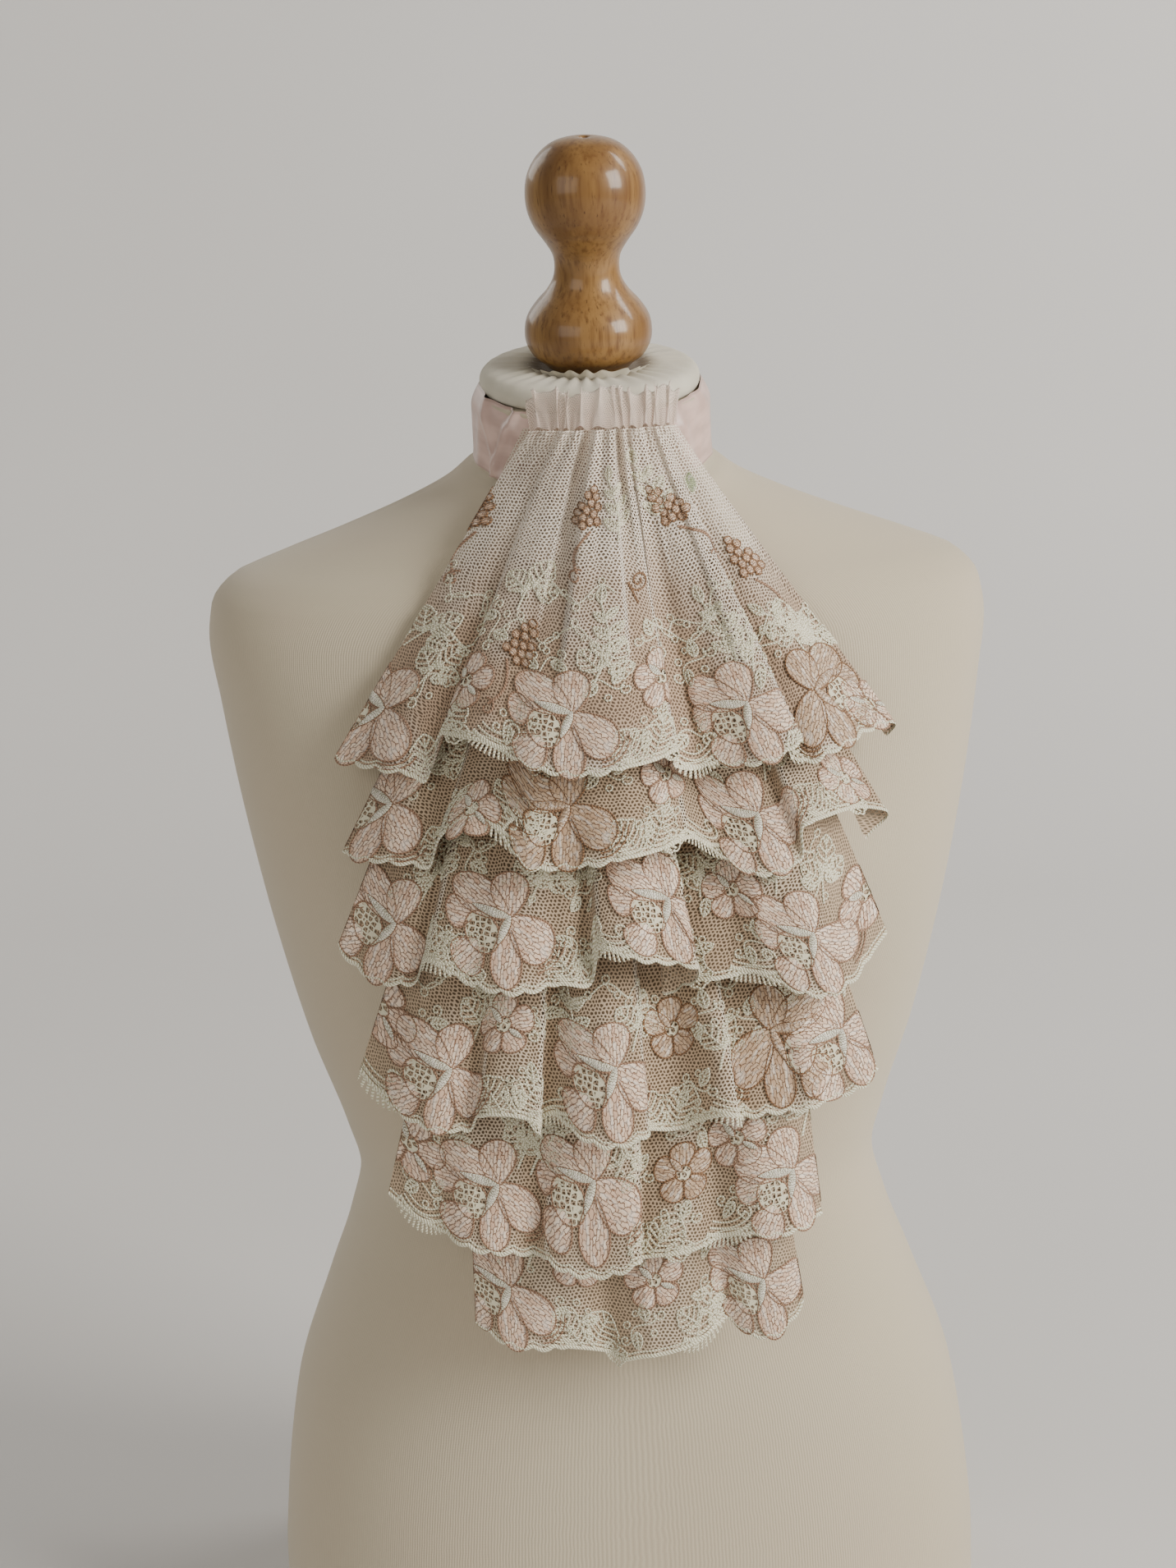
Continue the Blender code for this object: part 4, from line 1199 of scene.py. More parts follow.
THREADS = {
    "petal": stitched_finish("petal_thread", colour(253, 228, 203), colour(223, 185, 157),
                             colour(146, 108, 84)),
    "pad": stitched_finish("pad_thread", colour(250, 246, 228), colour(230, 226, 204),
                           colour(164, 152, 122), row=1.2, stitch=9.0),
    # The tan thread, with the brown cord round it, makes darker copies of the flowers that lie in recesses;
    # the darkness is painted shade. The brown cord also edges berries and curls in their own colour.
    "tan": stitched_finish("tan_thread", colour(214, 186, 156), colour(190, 158, 128),
                           colour(134, 98, 68)),
    "berry": stitched_finish("berry_thread", colour(244, 210, 178), colour(222, 184, 150),
                             colour(150, 108, 76), row=1.1, stitch=3.0),
    "green": stitched_finish("green_thread", colour(192, 200, 158), colour(168, 180, 134),
                             colour(130, 138, 100), row=1.1, stitch=3.0),
    "outline": cord_finish("taupe_cord", colour(172, 136, 110), colour(118, 88, 66)),
    "brown": cord_finish("brown_cord", colour(150, 112, 78), colour(96, 68, 44)),
    "cord": cord_finish("ivory_cord", colour(252, 248, 226), colour(192, 184, 150)),
    "openwork": openwork_finish("openwork", colour(249, 244, 220), colour(202, 193, 160)),
}
THREAD_ORDER = list(THREADS)
print("threads:", ", ".join(THREAD_ORDER))

# %% [markdown]
# Drawing the motifs.
# A lace maker's card shows each motif flat. Design does the same: petals, leaves, cords and domes
# are small grids of points in millimetres, x to the right, y towards the heading and a third
# number for how far the thread stands up. Each shape is a formula, so a flower is a short table of
# petals, and every one of them takes only a few dozen faces.

# %% Flat shapes
PETAL_FULLEST = 0.62
PETAL_FOOT = 0.26
PETAL_STEP = 0.03
OUTLINE_HEIGHT = 0.75
CORD_SIDES = np.array([-0.5, 0.0, 0.5])


def petal_profile(t):
    """Half width along a petal: a sine up to its fullest place, a quarter circle after it."""
    opening = PETAL_FOOT + (1 - PETAL_FOOT) * np.sin(0.5 * math.pi * np.clip(t / PETAL_FULLEST, 0, 1))
    closing = np.sqrt(np.clip(1 - ((t - PETAL_FULLEST) / (1 - PETAL_FULLEST)) ** 2, 0, 1))
    return np.where(t < PETAL_FULLEST, opening, closing)


def lens_profile(t):
    """Half width along a leaf or a bar: a sine that is fullest a little before the middle."""
    return np.clip(np.sin(math.pi * t**0.85), 0, 1) ** 0.75


def turned(ahead, side, angle, x=0.0, y=0.0):
    """Steps ahead and to the left of a direction, in degrees, taken from x, y."""
    cosine, sine = math.cos(math.radians(angle)), math.sin(math.radians(angle))
    return x + ahead * cosine - side * sine, y + ahead * sine + side * cosine


def once_round(steps):
    """Way along a shape and side of it, for a cord round it that is slow at both tips."""
    around = np.linspace(0, 1, steps)
    return 0.5 - 0.5 * np.cos(2 * math.pi * around), np.where(around < 0.5, 1, -1)


class Design:
    """A motif drawn flat: grids of points with their stitches' places, faces and threads."""

    def __init__(self):
        self.points = []
        self.flat = []
        self.faces = []
        self.threads = []
        self.count = 0
        self.level = 0.0

    def grid(self, x, y, rise, u, v, thread):
        """Adds a grid of points at the present level; u and v place its stitches."""
        x, y, rise, u, v = np.broadcast_arrays(x, y, rise, u, v)
        faces = grid_faces(*x.shape) + self.count
        self.points.append(np.stack([x, y, rise + self.level], axis=-1).reshape(-1, 3))
        self.flat.append(np.stack([u, v], axis=-1).reshape(-1, 2))
        self.faces.append(faces)
        self.threads.append(np.full(len(faces), THREAD_ORDER.index(thread)))
        self.count += x.size

    def cord(self, x, y, width, thread, rise=0.55):
        """A ridge that follows a line: three points across, the middle one raised."""
        x, y = np.broadcast_arrays(np.asarray(x, float), np.asarray(y, float))
        ahead = unit(np.stack([np.gradient(x), np.gradient(y)], axis=-1))
        side = CORD_SIDES * width
        along = running_sum(np.hypot(np.diff(x), np.diff(y)))
        self.grid(x[:, None] - ahead[:, 1:] * side, y[:, None] + ahead[:, :1] * side,
                  np.array([0.02, rise, 0.02]), along[:, None], side, thread)

    def petal(self, angle, start, length, width, thread, edge, bend=0.0):
        """Teardrop that starts a little way out from the middle; its line bends as t squared, and
        it is raised between its edges. Each petal lies a little above the one before."""
        t = np.linspace(0.02, 0.985, 10)[:, None]
        w = np.linspace(-1, 1, 6)[None, :]
        side = width / 2 * petal_profile(t) * w + bend * t**2
        crown = 0.12 + 0.4 * np.sqrt(1 - w**2) * np.sin(math.pi * t) ** 0.4
        self.grid(*turned(start + length * t, side, angle), crown,
                  length * t + 3 * angle, side + angle, thread)
        t, way = once_round(27)
        side = width / 2 * petal_profile(t) * way + bend * t**2
        self.cord(*turned(start + length * t, side, angle), 1.0, edge, OUTLINE_HEIGHT)
        self.level += PETAL_STEP

    def bar(self, x, y, angle, length, width, thread, edge):
        """Padded lens with a cord round it."""
        t = np.linspace(0.03, 0.97, 8)[:, None]
        w = np.linspace(-1, 1, 5)[None, :]
        side = width / 2 * lens_profile(t) * w
        crown = 0.2 + 0.75 * np.sqrt(1 - w**2)
        self.grid(*turned(length * t, side, angle, x, y), crown, side * 3 + 20, length * t, thread)
        t, way = once_round(21)
        self.cord(*turned(length * t, width / 2 * lens_profile(t) * way, angle, x, y), 0.9, edge)

    def leaf(self, x, y, angle, length, width, lobes=0, veins=4):
        """Open leaf of cords: a midrib, veins that fan from it, and an edge that may be looped."""

        def lay(ahead, side, thick, rise):
            self.cord(*turned(ahead, side, angle, x, y), thick, "cord", rise)

        lay(length * np.linspace(0, 0.92, 5), np.zeros(5), 0.9, 0.7)
        for root in np.linspace(0.08, 0.74, veins):
            reach = width / 2 * lens_profile(min(root + 0.16, 0.95))
            ahead = length * root + np.array([0, 0.07, 0.18]) * length
            for way in (-1, 1):
                lay(ahead, np.array([0.06, 0.5, 0.94]) * reach * way, 0.16 * length / veins + 0.45, 0.5)
        t, way = once_round(25 if lobes == 0 else 41)
        scallop = 1 + 0.3 * np.abs(np.sin(lobes * math.pi * t))
        lay(length * t, width / 2 * lens_profile(t) * scallop * way, 0.95, 0.65)

    def patch(self, x, y, across, tall, turn, thread, edge):
        """Flat oval filled with openwork and edged with a cord."""
        angle = np.linspace(0, 2 * math.pi, 21)[None, :]
        reach = np.array([0.02, 0.55, 1.0])[:, None]
        px, py = turned(across / 2 * reach * np.cos(angle), tall / 2 * reach * np.sin(angle), turn, x, y)
        self.grid(px, py, 0.1, px + 40, py + 40, thread)
        self.cord(px[-1], py[-1], 1.0, edge, 0.45)

    def dome(self, x, y, radius, thread, edge):
        """Round padded berry with a ring of cord; its height is nearly that of a ball's cap."""
        angle = np.linspace(0, 2 * math.pi, 11)[None, :]
        reach = np.array([0.02, 0.5, 0.85, 1.0])[:, None]
        px = x + radius * reach * np.cos(angle)
        py = y + radius * reach * np.sin(angle)
        self.grid(px, py, 0.15 + 0.5 * np.sqrt(1.02 - reach**2), px, py, thread)
        self.ring(x, y, radius, 0.9, edge, 0.95, 13)

    def ring(self, x, y, radius, width, thread, rise=0.55, steps=11):
        """Circle of cord."""
        angle = np.linspace(0, 2 * math.pi, steps)
        self.cord(x + radius * np.cos(angle), y + radius * np.sin(angle), width, thread, rise)

    def spiral(self, x, y, radius, turns, start, width, thread):
        """Curl: the radius shrinks evenly as the angle turns."""
        t = np.linspace(0, 1, int(14 * abs(turns)) + 6)
        angle = math.radians(start) + 2 * math.pi * turns * t
        reach = radius * (1 - 0.85 * t)
        self.cord(x + reach * np.cos(angle), y + reach * np.sin(angle), width, thread)


trial = Design()
trial.petal(0, 0, 20, 12, "petal", "outline")
print("a petal with its cord has", trial.count, "points")

# %% [markdown]
# The motifs.
# Each motif of the border is a function that draws one Design. Flowers are a table of petals with
# a heart and padded bars over them, leaves and sprigs are cords along sines and spirals, and the
# berries are a bunch of domes. A design is drawn once and laid as often as the border needs it.

# %% Flowers
def big_flower(petal, edge, pad):
    """Orchid-like flower of six petals with an openwork heart and two padded bars."""
    design = Design()
    for angle, start, length, width, bend in [
        (186, 17, 13, 15, 0.0), (-130, 18, 17, 18, 1.0), (-88, 6, 27, 15, 1.5),
        (-36, 1, 28, 19, -2.0), (150, 1, 29, 19, 1.5), (92, 0, 22, 18, 0.0),
    ]:
        design.petal(angle, start, length, width, petal, edge, bend)
    angle = np.radians(np.linspace(-86, 8, 16))
    for radius in (10.5, 12.9):
        design.cord(16 + radius * np.cos(angle), -13 + radius * np.sin(angle), 0.9, edge)
    design.level += 0.12
    design.patch(-11.5, -9, 16, 20, 32, "openwork", edge)
    design.bar(1, 0, 170, 19, 5.0, pad, edge)
    design.bar(1, 1, 252, 15, 4.6, pad, edge)
    return design


def small_flower(petal, edge, pad):
    """Five round petals round an openwork heart, with a small padded leaf."""
    design = Design()
    for angle in (92, 162, 236, 305, 20):
        design.petal(angle, 3, 12, 12.5, petal, edge)
    design.level += 0.08
    design.patch(0, 0, 8, 8, 0, "openwork", edge)
    design.bar(-1, 1, 128, 9, 3.6, pad, edge)
    design.bar(3, -2, -30, 8, 3.4, pad, edge)
    return design


def leaf_pair():
    """Two scalloped ivory leaves on one stem."""
    design = Design()
    t = np.linspace(0, 1, 12)
    design.cord(-4 + 8 * t, -14 + 16 * t + 3 * np.sin(3 * t), 1.1, "cord")
    design.leaf(-1, -3, 132, 14, 10, 4)
    design.leaf(3, -1, 58, 16, 11, 4)
    design.leaf(5, -5, 12, 12, 8, 3)
    return design


def leaf_spray():
    """Rising stem with three pairs of leaflets and one at its tip."""
    design = Design()
    t = np.linspace(0, 1, 16)
    design.cord(2.5 * np.sin(4 * t), 36 * t, 1.0, "cord")
    for up, size in ((7, 11), (16, 10), (25, 8)):
        x = 2.5 * math.sin(4 * up / 36)
        design.leaf(x, up, 142, size, size * 0.5)
        design.leaf(x, up + 2, 38, size, size * 0.5)
    design.leaf(2.5 * math.sin(4), 35, 84, 9, 5)
    return design


def shells():
    """Two leaf-like shells side by side that stand on the hem."""
    design = Design()
    design.leaf(-3, 1, 124, 21, 17, 6, 6)
    design.leaf(3, 1, 62, 22, 17, 6, 6)
    design.leaf(9, 0, 12, 13, 9, 3)
    design.spiral(-12, 6, 5, -1.1, 200, 1.0, "cord")
    return design


def comb(first, last):
    """Bowl-shaped scroll with rays below it, from one angle of the bowl to the other."""
    design = Design()
    angle = np.radians(np.linspace(first, last, 22))
    for radius, width in ((19.5, 1.7), (16.6, 1.0), (13.6, 0.9)):
        design.cord(radius * np.cos(angle), 19 + radius * np.sin(angle), width, "cord")
    for ray in np.radians(np.linspace(first + 2, last - 2, 14)):
        reach = np.array([19.5, 22.6, 25.6])
        design.cord(reach * math.cos(ray), 19 + reach * math.sin(ray), 1.15, "cord", 0.5)
    design.spiral(8, 10, 4.6, 1.2, -60, 1.1, "cord")
    return design


def vine():
    """Wandering stem with a small loop at each bend."""
    design = Design()
    t = np.linspace(0, 1, 40)
    design.cord(-26 + 52 * t, 5 * np.sin(11 * t) + 6 * t, 0.85, "cord", 0.4)
    for turn in (0.14, 0.42, 0.71, 0.95):
        x = -26 + 52 * turn
        y = 5 * math.sin(11 * turn) + 6 * turn
        side = 1 if math.sin(11 * turn) > 0 else -1
        design.ring(x, y + 2.0 * side, 1.9, 0.8, "cord")
        design.cord([x, x + 2, x + 5], [y, y - 3 * side, y - 4.5 * side], 0.8, "cord", 0.4)
        design.ring(x + 6.4, y - 5.4 * side, 1.6, 0.8, "cord")
    return design


def sprig():
    """Little scroll with three loops and two leaflets that fills the net between flowers."""
    design = Design()
    t = np.linspace(0, 1, 16)
    design.cord(-9 + 18 * t, 3.5 * np.sin(5.5 * t), 0.9, "cord", 0.4)
    design.spiral(10, -4.5, 3.4, 1.2, 100, 0.9, "cord")
    design.spiral(-10, 3.8, 3.0, -1.2, -80, 0.9, "cord")
    design.ring(-3, 7.4, 1.7, 0.8, "cord")
    design.ring(4, 6.6, 1.5, 0.8, "cord")
    design.ring(0.5, -6.8, 1.6, 0.8, "cord")
    design.leaf(-4, 1, 222, 9, 5)
    design.leaf(4, 0, 48, 9, 5)
    return design


def berry_cluster():
    """Hanging bunch of padded berries on a curved double stem."""
    design = Design()
    t = np.linspace(0, 1, 24)
    design.cord(2 - 7 * np.sin(2.6 * t), -8 - 24 * t, 1.5, "outline")
    design.spiral(-2, -34, 5, 0.9, 60, 1.1, "outline")
    for x, y in ((0.6, 15), (-2.4, 11.4), (2.6, 10.9), (0.2, 7.2), (-5.2, 5), (4.6, 5.4), (-1.8, 2.9),
                 (-6.7, 0.9), (2.6, 1.2), (-3.3, -1.2), (-7.1, -3.4), (0.9, -3), (5.2, -2.6), (-3, -5.4)):
        design.dome(x, y, 2.15, "berry", "brown")
    return design


def curl():
    """Brown tendril that ends in a spiral."""
    design = Design()
    design.spiral(0, 0, 6, 1.6, 180, 1.1, "brown")
    t = np.linspace(0, 1, 10)
    design.cord(-6 + 4 * t, -12 * t, 1.1, "brown")
    return design


def small_leaf():
    """One padded green leaf."""
    design = Design()
    design.bar(0, -5, 90, 12, 7, "green", "cord")
    return design


DESIGNS = {
    "big": big_flower("petal", "outline", "pad"),
    # back and small_back are the flowers in tan thread with brown cords, laid where a flower lies in a
    # recess of the folds; their darker colour is painted shade.
    "back": big_flower("tan", "brown", "tan"),
    "small": small_flower("petal", "outline", "pad"),
    "small_back": small_flower("tan", "brown", "tan"),
    "leaves": leaf_pair(),
    "spray": leaf_spray(),
    "shells": shells(),
    "comb": comb(-127, -50),
    "vine": vine(),
    "sprig": sprig(),
    "berries": berry_cluster(),
    "curl": curl(),
    "leaf": small_leaf(),
}
print("faces of a big flower:", sum(len(faces) for faces in DESIGNS["big"].faces))

# %% [markdown]
# Where the motifs lie.
# The strips are cut from one border whose repeat is 98 mm: a comb, a large flower on the lobes of
# the hem, a pair of shells, a small flower above them. Folds hide and shift them, so each flower
# that shows is placed by its spot on the front view. The parts that go with it follow by
# themselves.

# %% Motif tables
Motif = namedtuple("Motif", "kind across height turn mirror", defaults=(0, False))
MOTIFS = {
    "tier_1": [
        Motif("big", -112, 522, -14), Motif("big", -23, 528), Motif("big", 60, 525, 4),
        Motif("back", 99, 522, 8, True), Motif("small", 21, 542), Motif("small", -69, 542, -6),
        Motif("small", 122, 519, 24), Motif("berries", -63, 612, 12),
        Motif("berries", -44, 556, -18, True), Motif("berries", -7, 612, -4),
        Motif("berries", 32, 611, 28, True), Motif("berries", 68, 586, 10, True),
        Motif("curl", 14, 583), Motif("spray", -6, 548), Motif("spray", 57, 545, 8),
        Motif("spray", 5, 600, 4), Motif("leaves", -38, 583, 10), Motif("leaves", 84, 556, 30),
        Motif("leaves", -86, 562, -20), Motif("leaf", 44, 622, -20), Motif("vine", 46, 566, 20),
        Motif("vine", -70, 576, -30), Motif("vine", -20, 577, 8, True), Motif("spray", 30, 606, 14),
        Motif("spray", 104, 545, 38),
    ],
    "tier_2": [
        Motif("big", -109, 482, -12), Motif("back", -26, 483), Motif("big", 63, 475, 4),
        Motif("small", 20, 499), Motif("small", -69, 487, -5), Motif("small", 106, 488, 14),
        Motif("spray", 40, 492), Motif("leaves", -50, 486),
    ],
    "tier_3": [
        Motif("big", -108, 430, -8), Motif("big", -55, 438), Motif("big", 18, 443),
        Motif("big", 86, 421, 4), Motif("small", 50, 442), Motif("small", 116, 432, 20),
        Motif("leaves", -22, 452), Motif("spray", 70, 440), Motif("leaves", 36, 452, 10),
    ],
    "tier_4": [
        Motif("big", -86, 361, -6), Motif("big", -9, 364), Motif("big", 101, 367, 10),
        Motif("small", -59, 384), Motif("small_back", 20, 375), Motif("back", 68, 372, 0, True),
        Motif("small", -118, 388, -14), Motif("spray", -30, 366), Motif("leaves", 44, 370),
    ],
    "tier_5": [
        Motif("big", -66, 302), Motif("big", -20, 304), Motif("big", 76, 295, 8),
        Motif("small", -106, 320, -10), Motif("small_back", 24, 303), Motif("small", 50, 318),
        Motif("leaves", -44, 318),
    ],
    "tier_6": [
        Motif("big", -62, 240), Motif("small", 8, 247), Motif("big", 62, 238, 4),
        Motif("small", -30, 258), Motif("leaves", 30, 226),
    ],
}
print("motifs:", sum(len(motifs) for motifs in MOTIFS.values()))

# %% [markdown]
# Laying the embroidery on the cloth.
# A design's flat place becomes a place on the strip: up the strip in millimetres of its drop, and
# along it divided by how far the gathers have closed it there, so that a petal keeps its width.
# A large flower stands on the hem, so its lower petals are drawn out as far as the hem is away.
# All points of a design go through the strip's surface in one call.

# %% Stitching
LAID_FROM = 0.03
LAID_TO = 1.06
LAID_ABOVE = 0.25
KEPT_FROM_END = 0.5
NEAR_STEPS = np.array([-14.0, -7.0, 0.0, 7.0, 14.0])
LOBE_REACH = 23.0
LOBE_DEPTH = 3.0
LOBE_END = 1.3
SCALLOP_WIDTH = 10.5
SCALLOP_HEIGHT = 2.3
RAISED_HEM = 4.5


class Stitching:
    """All the embroidery of one strip, collected into one mesh."""

    def __init__(self, cloth):
        self.cloth = cloth
        self.points = []
        self.flat = []
        self.faces = []
        self.threads = []
        self.count = 0

    def lay(self, design, s, up, turn=0.0, mirror=False, reach=1.0):
        """Lays a design with its middle at s, up millimetres above the hem, turned by degrees;
        what lies below its middle is drawn out by reach."""
        flat_points = np.concatenate(design.points)
        along, higher = turned(flat_points[:, 0] * (-1 if mirror else 1), flat_points[:, 1], turn)
        higher = np.where(higher < 0, reach * higher, higher)
        drop = float(self.cloth.drop(s))
        v = np.clip(1 - (up + higher) / drop, LAID_FROM, LAID_TO)
        levels = np.linspace(0, LAID_TO, 12)
        spread = np.array([self.cloth.spread(s + NEAR_STEPS, level).mean() for level in levels])
        place = s + along / np.interp(v, levels, spread)
        place = np.clip(place, KEPT_FROM_END, self.cloth.length - KEPT_FROM_END)
        faces = np.concatenate(design.faces)
        self.collect(self.cloth.lay(place, v, LAID_ABOVE + flat_points[:, 2]), np.concatenate(design.flat),
                     faces[:, ::-1] if mirror else faces, np.concatenate(design.threads))

    def line(self, s, up, width, thread, rise=0.6):
        """A cord along a line of the strip, given in hem millimetres and height above the hem."""
        drop = self.cloth.drop(s)
        v = 1 - up / drop
        closed = self.cloth.spread(s, v)
        ahead = unit(np.stack([np.gradient(s) * closed, np.gradient(up)], axis=-1))
        side = CORD_SIDES * width
        place = np.clip(s[:, None] - ahead[:, 1:] * side / closed[:, None], 0, self.cloth.length)
        level = v[:, None] - ahead[:, :1] * side / drop[:, None]
        height = np.broadcast_to(np.array([0.1, rise, 0.1]), place.shape)
        along = running_sum(np.hypot(np.diff(s) * closed[1:], np.diff(up)))
        flat = np.stack(np.broadcast_arrays(along[:, None], side[None, :]), axis=-1).reshape(-1, 2)
        faces = grid_faces(len(s), 3)
        self.collect(self.cloth.lay(place, level, height).reshape(-1, 3), flat, faces,
                     np.full(len(faces), THREAD_ORDER.index(thread)))

    def collect(self, points, flat, faces, threads):
        """Adds points with their flat places, faces between them and each face's thread."""
        self.points.append(points)
        self.flat.append(flat)
        self.faces.append(faces + self.count)
        self.threads.append(threads)
        self.count += len(points)

    def piece(self, name):
        """The collected stitching as one mesh with a material slot for each thread."""
        return add_piece(name, np.concatenate(self.points), np.concatenate(self.faces),
                         list(THREADS.values()), np.concatenate(self.flat), np.concatenate(self.threads))


def hem_rise(s, flowers):
    """Height of the strip's edge above its lowest line: under each large flower a curve of the
    distance squared with small scallops on it, and a level edge between them."""
    rise = np.full_like(s, RAISED_HEM)
    for flower in flowers:
        away = s - flower
        scallops = SCALLOP_HEIGHT * (1 - np.abs(np.sin(math.pi * away / SCALLOP_WIDTH)))
        lobe = LOBE_DEPTH * (away / LOBE_REACH) ** 2 + scallops
        rise = np.minimum(rise, np.where(np.abs(away) < LOBE_REACH * LOBE_END, lobe, RAISED_HEM))
    return rise


print("edge under a flower rises", hem_rise(np.array([0.0, 10.0, 20.0, 30.0]), [0.0]).round(1), "mm")

# %% [markdown]
# Making the tiers.
# The lowest strip is hung first, as a dresser would, and each next one lies on the map of what
# hangs beneath. Every strip gives two pieces: the net, whose flat map is measured along each row
# so that its holes keep their size, and the embroidery that rides on it. The net also carries a
# tone from point to point, by which the finish shades its folds.

# %% Net of a tier
NET_ROW = 2.1
NET_PITCH = 2.0
FOLD_DEPTH = 7.5
OWN_CELLS = 4
OWN_SOFTENING = 8
# Each tier's base tone of painted shade: browner lower down, where less light reaches.
NET_TONES = {
    "tier_1": 0.17, "tier_2": 0.32, "tier_3": 0.38, "tier_4": 0.46, "tier_5": 0.48, "tier_6": 0.52,
}
SHEER_FROM = 548.0
SHEER_REACH = 62.0
SHEER_PALENESS = 0.75
DOUBLED_TONE = -0.5
# Pale is the thread's own colour; the brown and the hole colours are painted shade.
net_material = net_finish("embroidered_tulle", NET_PITCH, 0.38, colour(233, 219, 199), colour(193, 169, 142),
                          colour(96, 78, 58), 0.85)
pale_material = net_finish("first_tier_tulle", NET_PITCH, 0.38, colour(242, 230, 215), colour(192, 164, 138),
                           colour(108, 88, 70), 0.8)


def net_tone(cloth, s, level, points, depth):
    """Tone of the net, 0 pale to 1 brown, a painted shade: a base for each tier, more in a fold by how
    far it lies behind the softened front, less where tier 1 is sheer at its top, and below 0 on a
    doubled edge."""
    own = softened(widened(deepest(points, depth), OWN_CELLS), OWN_SOFTENING)
    behind = (read_map(own, points[..., 0], points[..., 2]) - depth) / MM
    sheer = np.clip(points[..., 2] / MM - SHEER_FROM, 0, SHEER_REACH) / SHEER_REACH
    tone = np.clip(NET_TONES[cloth.tier.name] * (1 - sheer) + behind / FOLD_DEPTH, 0, 1)
    tone = tone * (1 - SHEER_PALENESS * sheer)
    doubled = cloth.edges(s, level)
    return tone * (1 - doubled) + DOUBLED_TONE * doubled


def net_of(cloth, s, drop, flowers):
    """The net from heading to hem, its points and its depth. Its flat map is measured along each
    row from the middle, and down by the share of the drop."""
    rows = int(drop.max() / NET_ROW)
    edge = 1 - hem_rise(s, flowers) / drop
    level = np.linspace(0, 1, rows)[:, None] * edge[None, :]
    points, depth = cloth.shape(s[None, :], level)
    step = np.linalg.norm(np.diff(points, axis=1), axis=-1) / MM
    along_row = np.concatenate([np.zeros((rows, 1)), np.cumsum(step, axis=1)], axis=1)
    along_row -= along_row[:, len(s) // 2, None]
    flat = np.stack([along_row, -level * drop[None, :]], axis=-1)
    tone = net_tone(cloth, s[None, :], level, points, depth)
    finish = pale_material if cloth.tier.name == "tier_1" else net_material
    return add_grid(cloth.tier.name + "_net", points, finish, flat, tone=tone), points, depth


# %% [markdown]
# The border on a tier.
# The listed motifs come first, then what the border repeats by itself: beside each large flower a
# comb and a pair of shells, where the next flower leaves room for them, then a row of sprigs that
# fills the net, and last the two cords of the hem.

# %% Embroidery of a tier
LARGE_FLOWERS = ("big", "back")
LEAST_ABOVE_HEM = 31.0
REACHED_HEM = 35.0
MOST_REACH = 1.3
OPEN_END = 200.0
COMB_FROM_FLOWER = -34.0
COMB_ABOVE_HEM = 5.6
COMB_ROOM = 58
COMB_END = 34
SHELLS_FROM_FLOWER = 38.0
SHELLS_ROOM = 62
SHELLS_END = 40
LEAVES_PLACE = (15, 58)
VINE_PLACE = (-16, 68)
SPRIG_START = 16.0
SPRIG_END = 12
SPRIG_STEP = 35.0
SPRIG_HEIGHTS = (47, 62, 54)
SPRIG_TURNS = (8, -30, 52, -64, 25)
SPRIG_SHIFT = 9
LOW_SPRIG_HEIGHT = 20
LOW_SPRIG_ROOM = 26
HEM_STEP = 1.5
HEM_END = 0.4
HEM_CORD = 2.1
INNER_CORD = 0.9
INNER_CORD_ABOVE = 2.6


def lay_motifs(stitching, placed):
    """The listed motifs; a large flower keeps off the hem, and its petals are drawn out to it."""
    for motif, place, v in placed:
        up = (1 - v) * float(stitching.cloth.drop(place))
        reach = 1.0
        if motif.kind in LARGE_FLOWERS:
            up = max(up, LEAST_ABOVE_HEM)
            reach = min(max(up / REACHED_HEM, 1.0), MOST_REACH)
        stitching.lay(DESIGNS[motif.kind], place, up, motif.turn, motif.mirror, reach)


def lay_border(stitching, flowers):
    """What stands between the large flowers, and the sprigs that fill the net."""
    length = stitching.cloth.length
    gaps = np.diff(np.array([-OPEN_END] + flowers + [length + OPEN_END]))
    for flower, before, after in zip(flowers, gaps, gaps[1:]):
        if before > COMB_ROOM and flower > COMB_END:
            stitching.lay(DESIGNS["comb"], flower + COMB_FROM_FLOWER, COMB_ABOVE_HEM)
        if after > SHELLS_ROOM and flower < length - SHELLS_END:
            stitching.lay(DESIGNS["shells"], flower + SHELLS_FROM_FLOWER, RAISED_HEM)
        stitching.lay(DESIGNS["leaves"], flower + LEAVES_PLACE[0], LEAVES_PLACE[1])
        stitching.lay(DESIGNS["vine"], flower + VINE_PLACE[0], VINE_PLACE[1])
    turns = len(SPRIG_TURNS)
    for k, place in enumerate(np.arange(SPRIG_START, length - SPRIG_END, SPRIG_STEP)):
        if np.min(np.abs(np.array(flowers) - place)) > LOW_SPRIG_ROOM:
            stitching.lay(DESIGNS["sprig"], place, LOW_SPRIG_HEIGHT, SPRIG_TURNS[k % turns])
        stitching.lay(DESIGNS["sprig"], place + SPRIG_SHIFT, SPRIG_HEIGHTS[k % len(SPRIG_HEIGHTS)],
                      SPRIG_TURNS[(k + 2) % turns], k % 2 == 0)


def embroidery_of(cloth, placed, flowers):
    """Motifs, border and hem cords of one tier as one piece."""
    stitching = Stitching(cloth)
    lay_motifs(stitching, placed)
    lay_border(stitching, flowers)
    fine = np.linspace(HEM_END, cloth.length - HEM_END, int(cloth.length / HEM_STEP))
    stitching.line(fine, hem_rise(fine, flowers), HEM_CORD, "cord", 1.0)
    stitching.line(fine, hem_rise(fine, flowers) + INNER_CORD_ABOVE, INNER_CORD, "cord", 0.5)
    return stitching.piece(cloth.tier.name + "_embroidery")


# %% [markdown]
# Each tier is now one call: its surface, the places of its motifs, its net and its embroidery.

# %% Hanging the tiers
NET_COLUMN = 1.6


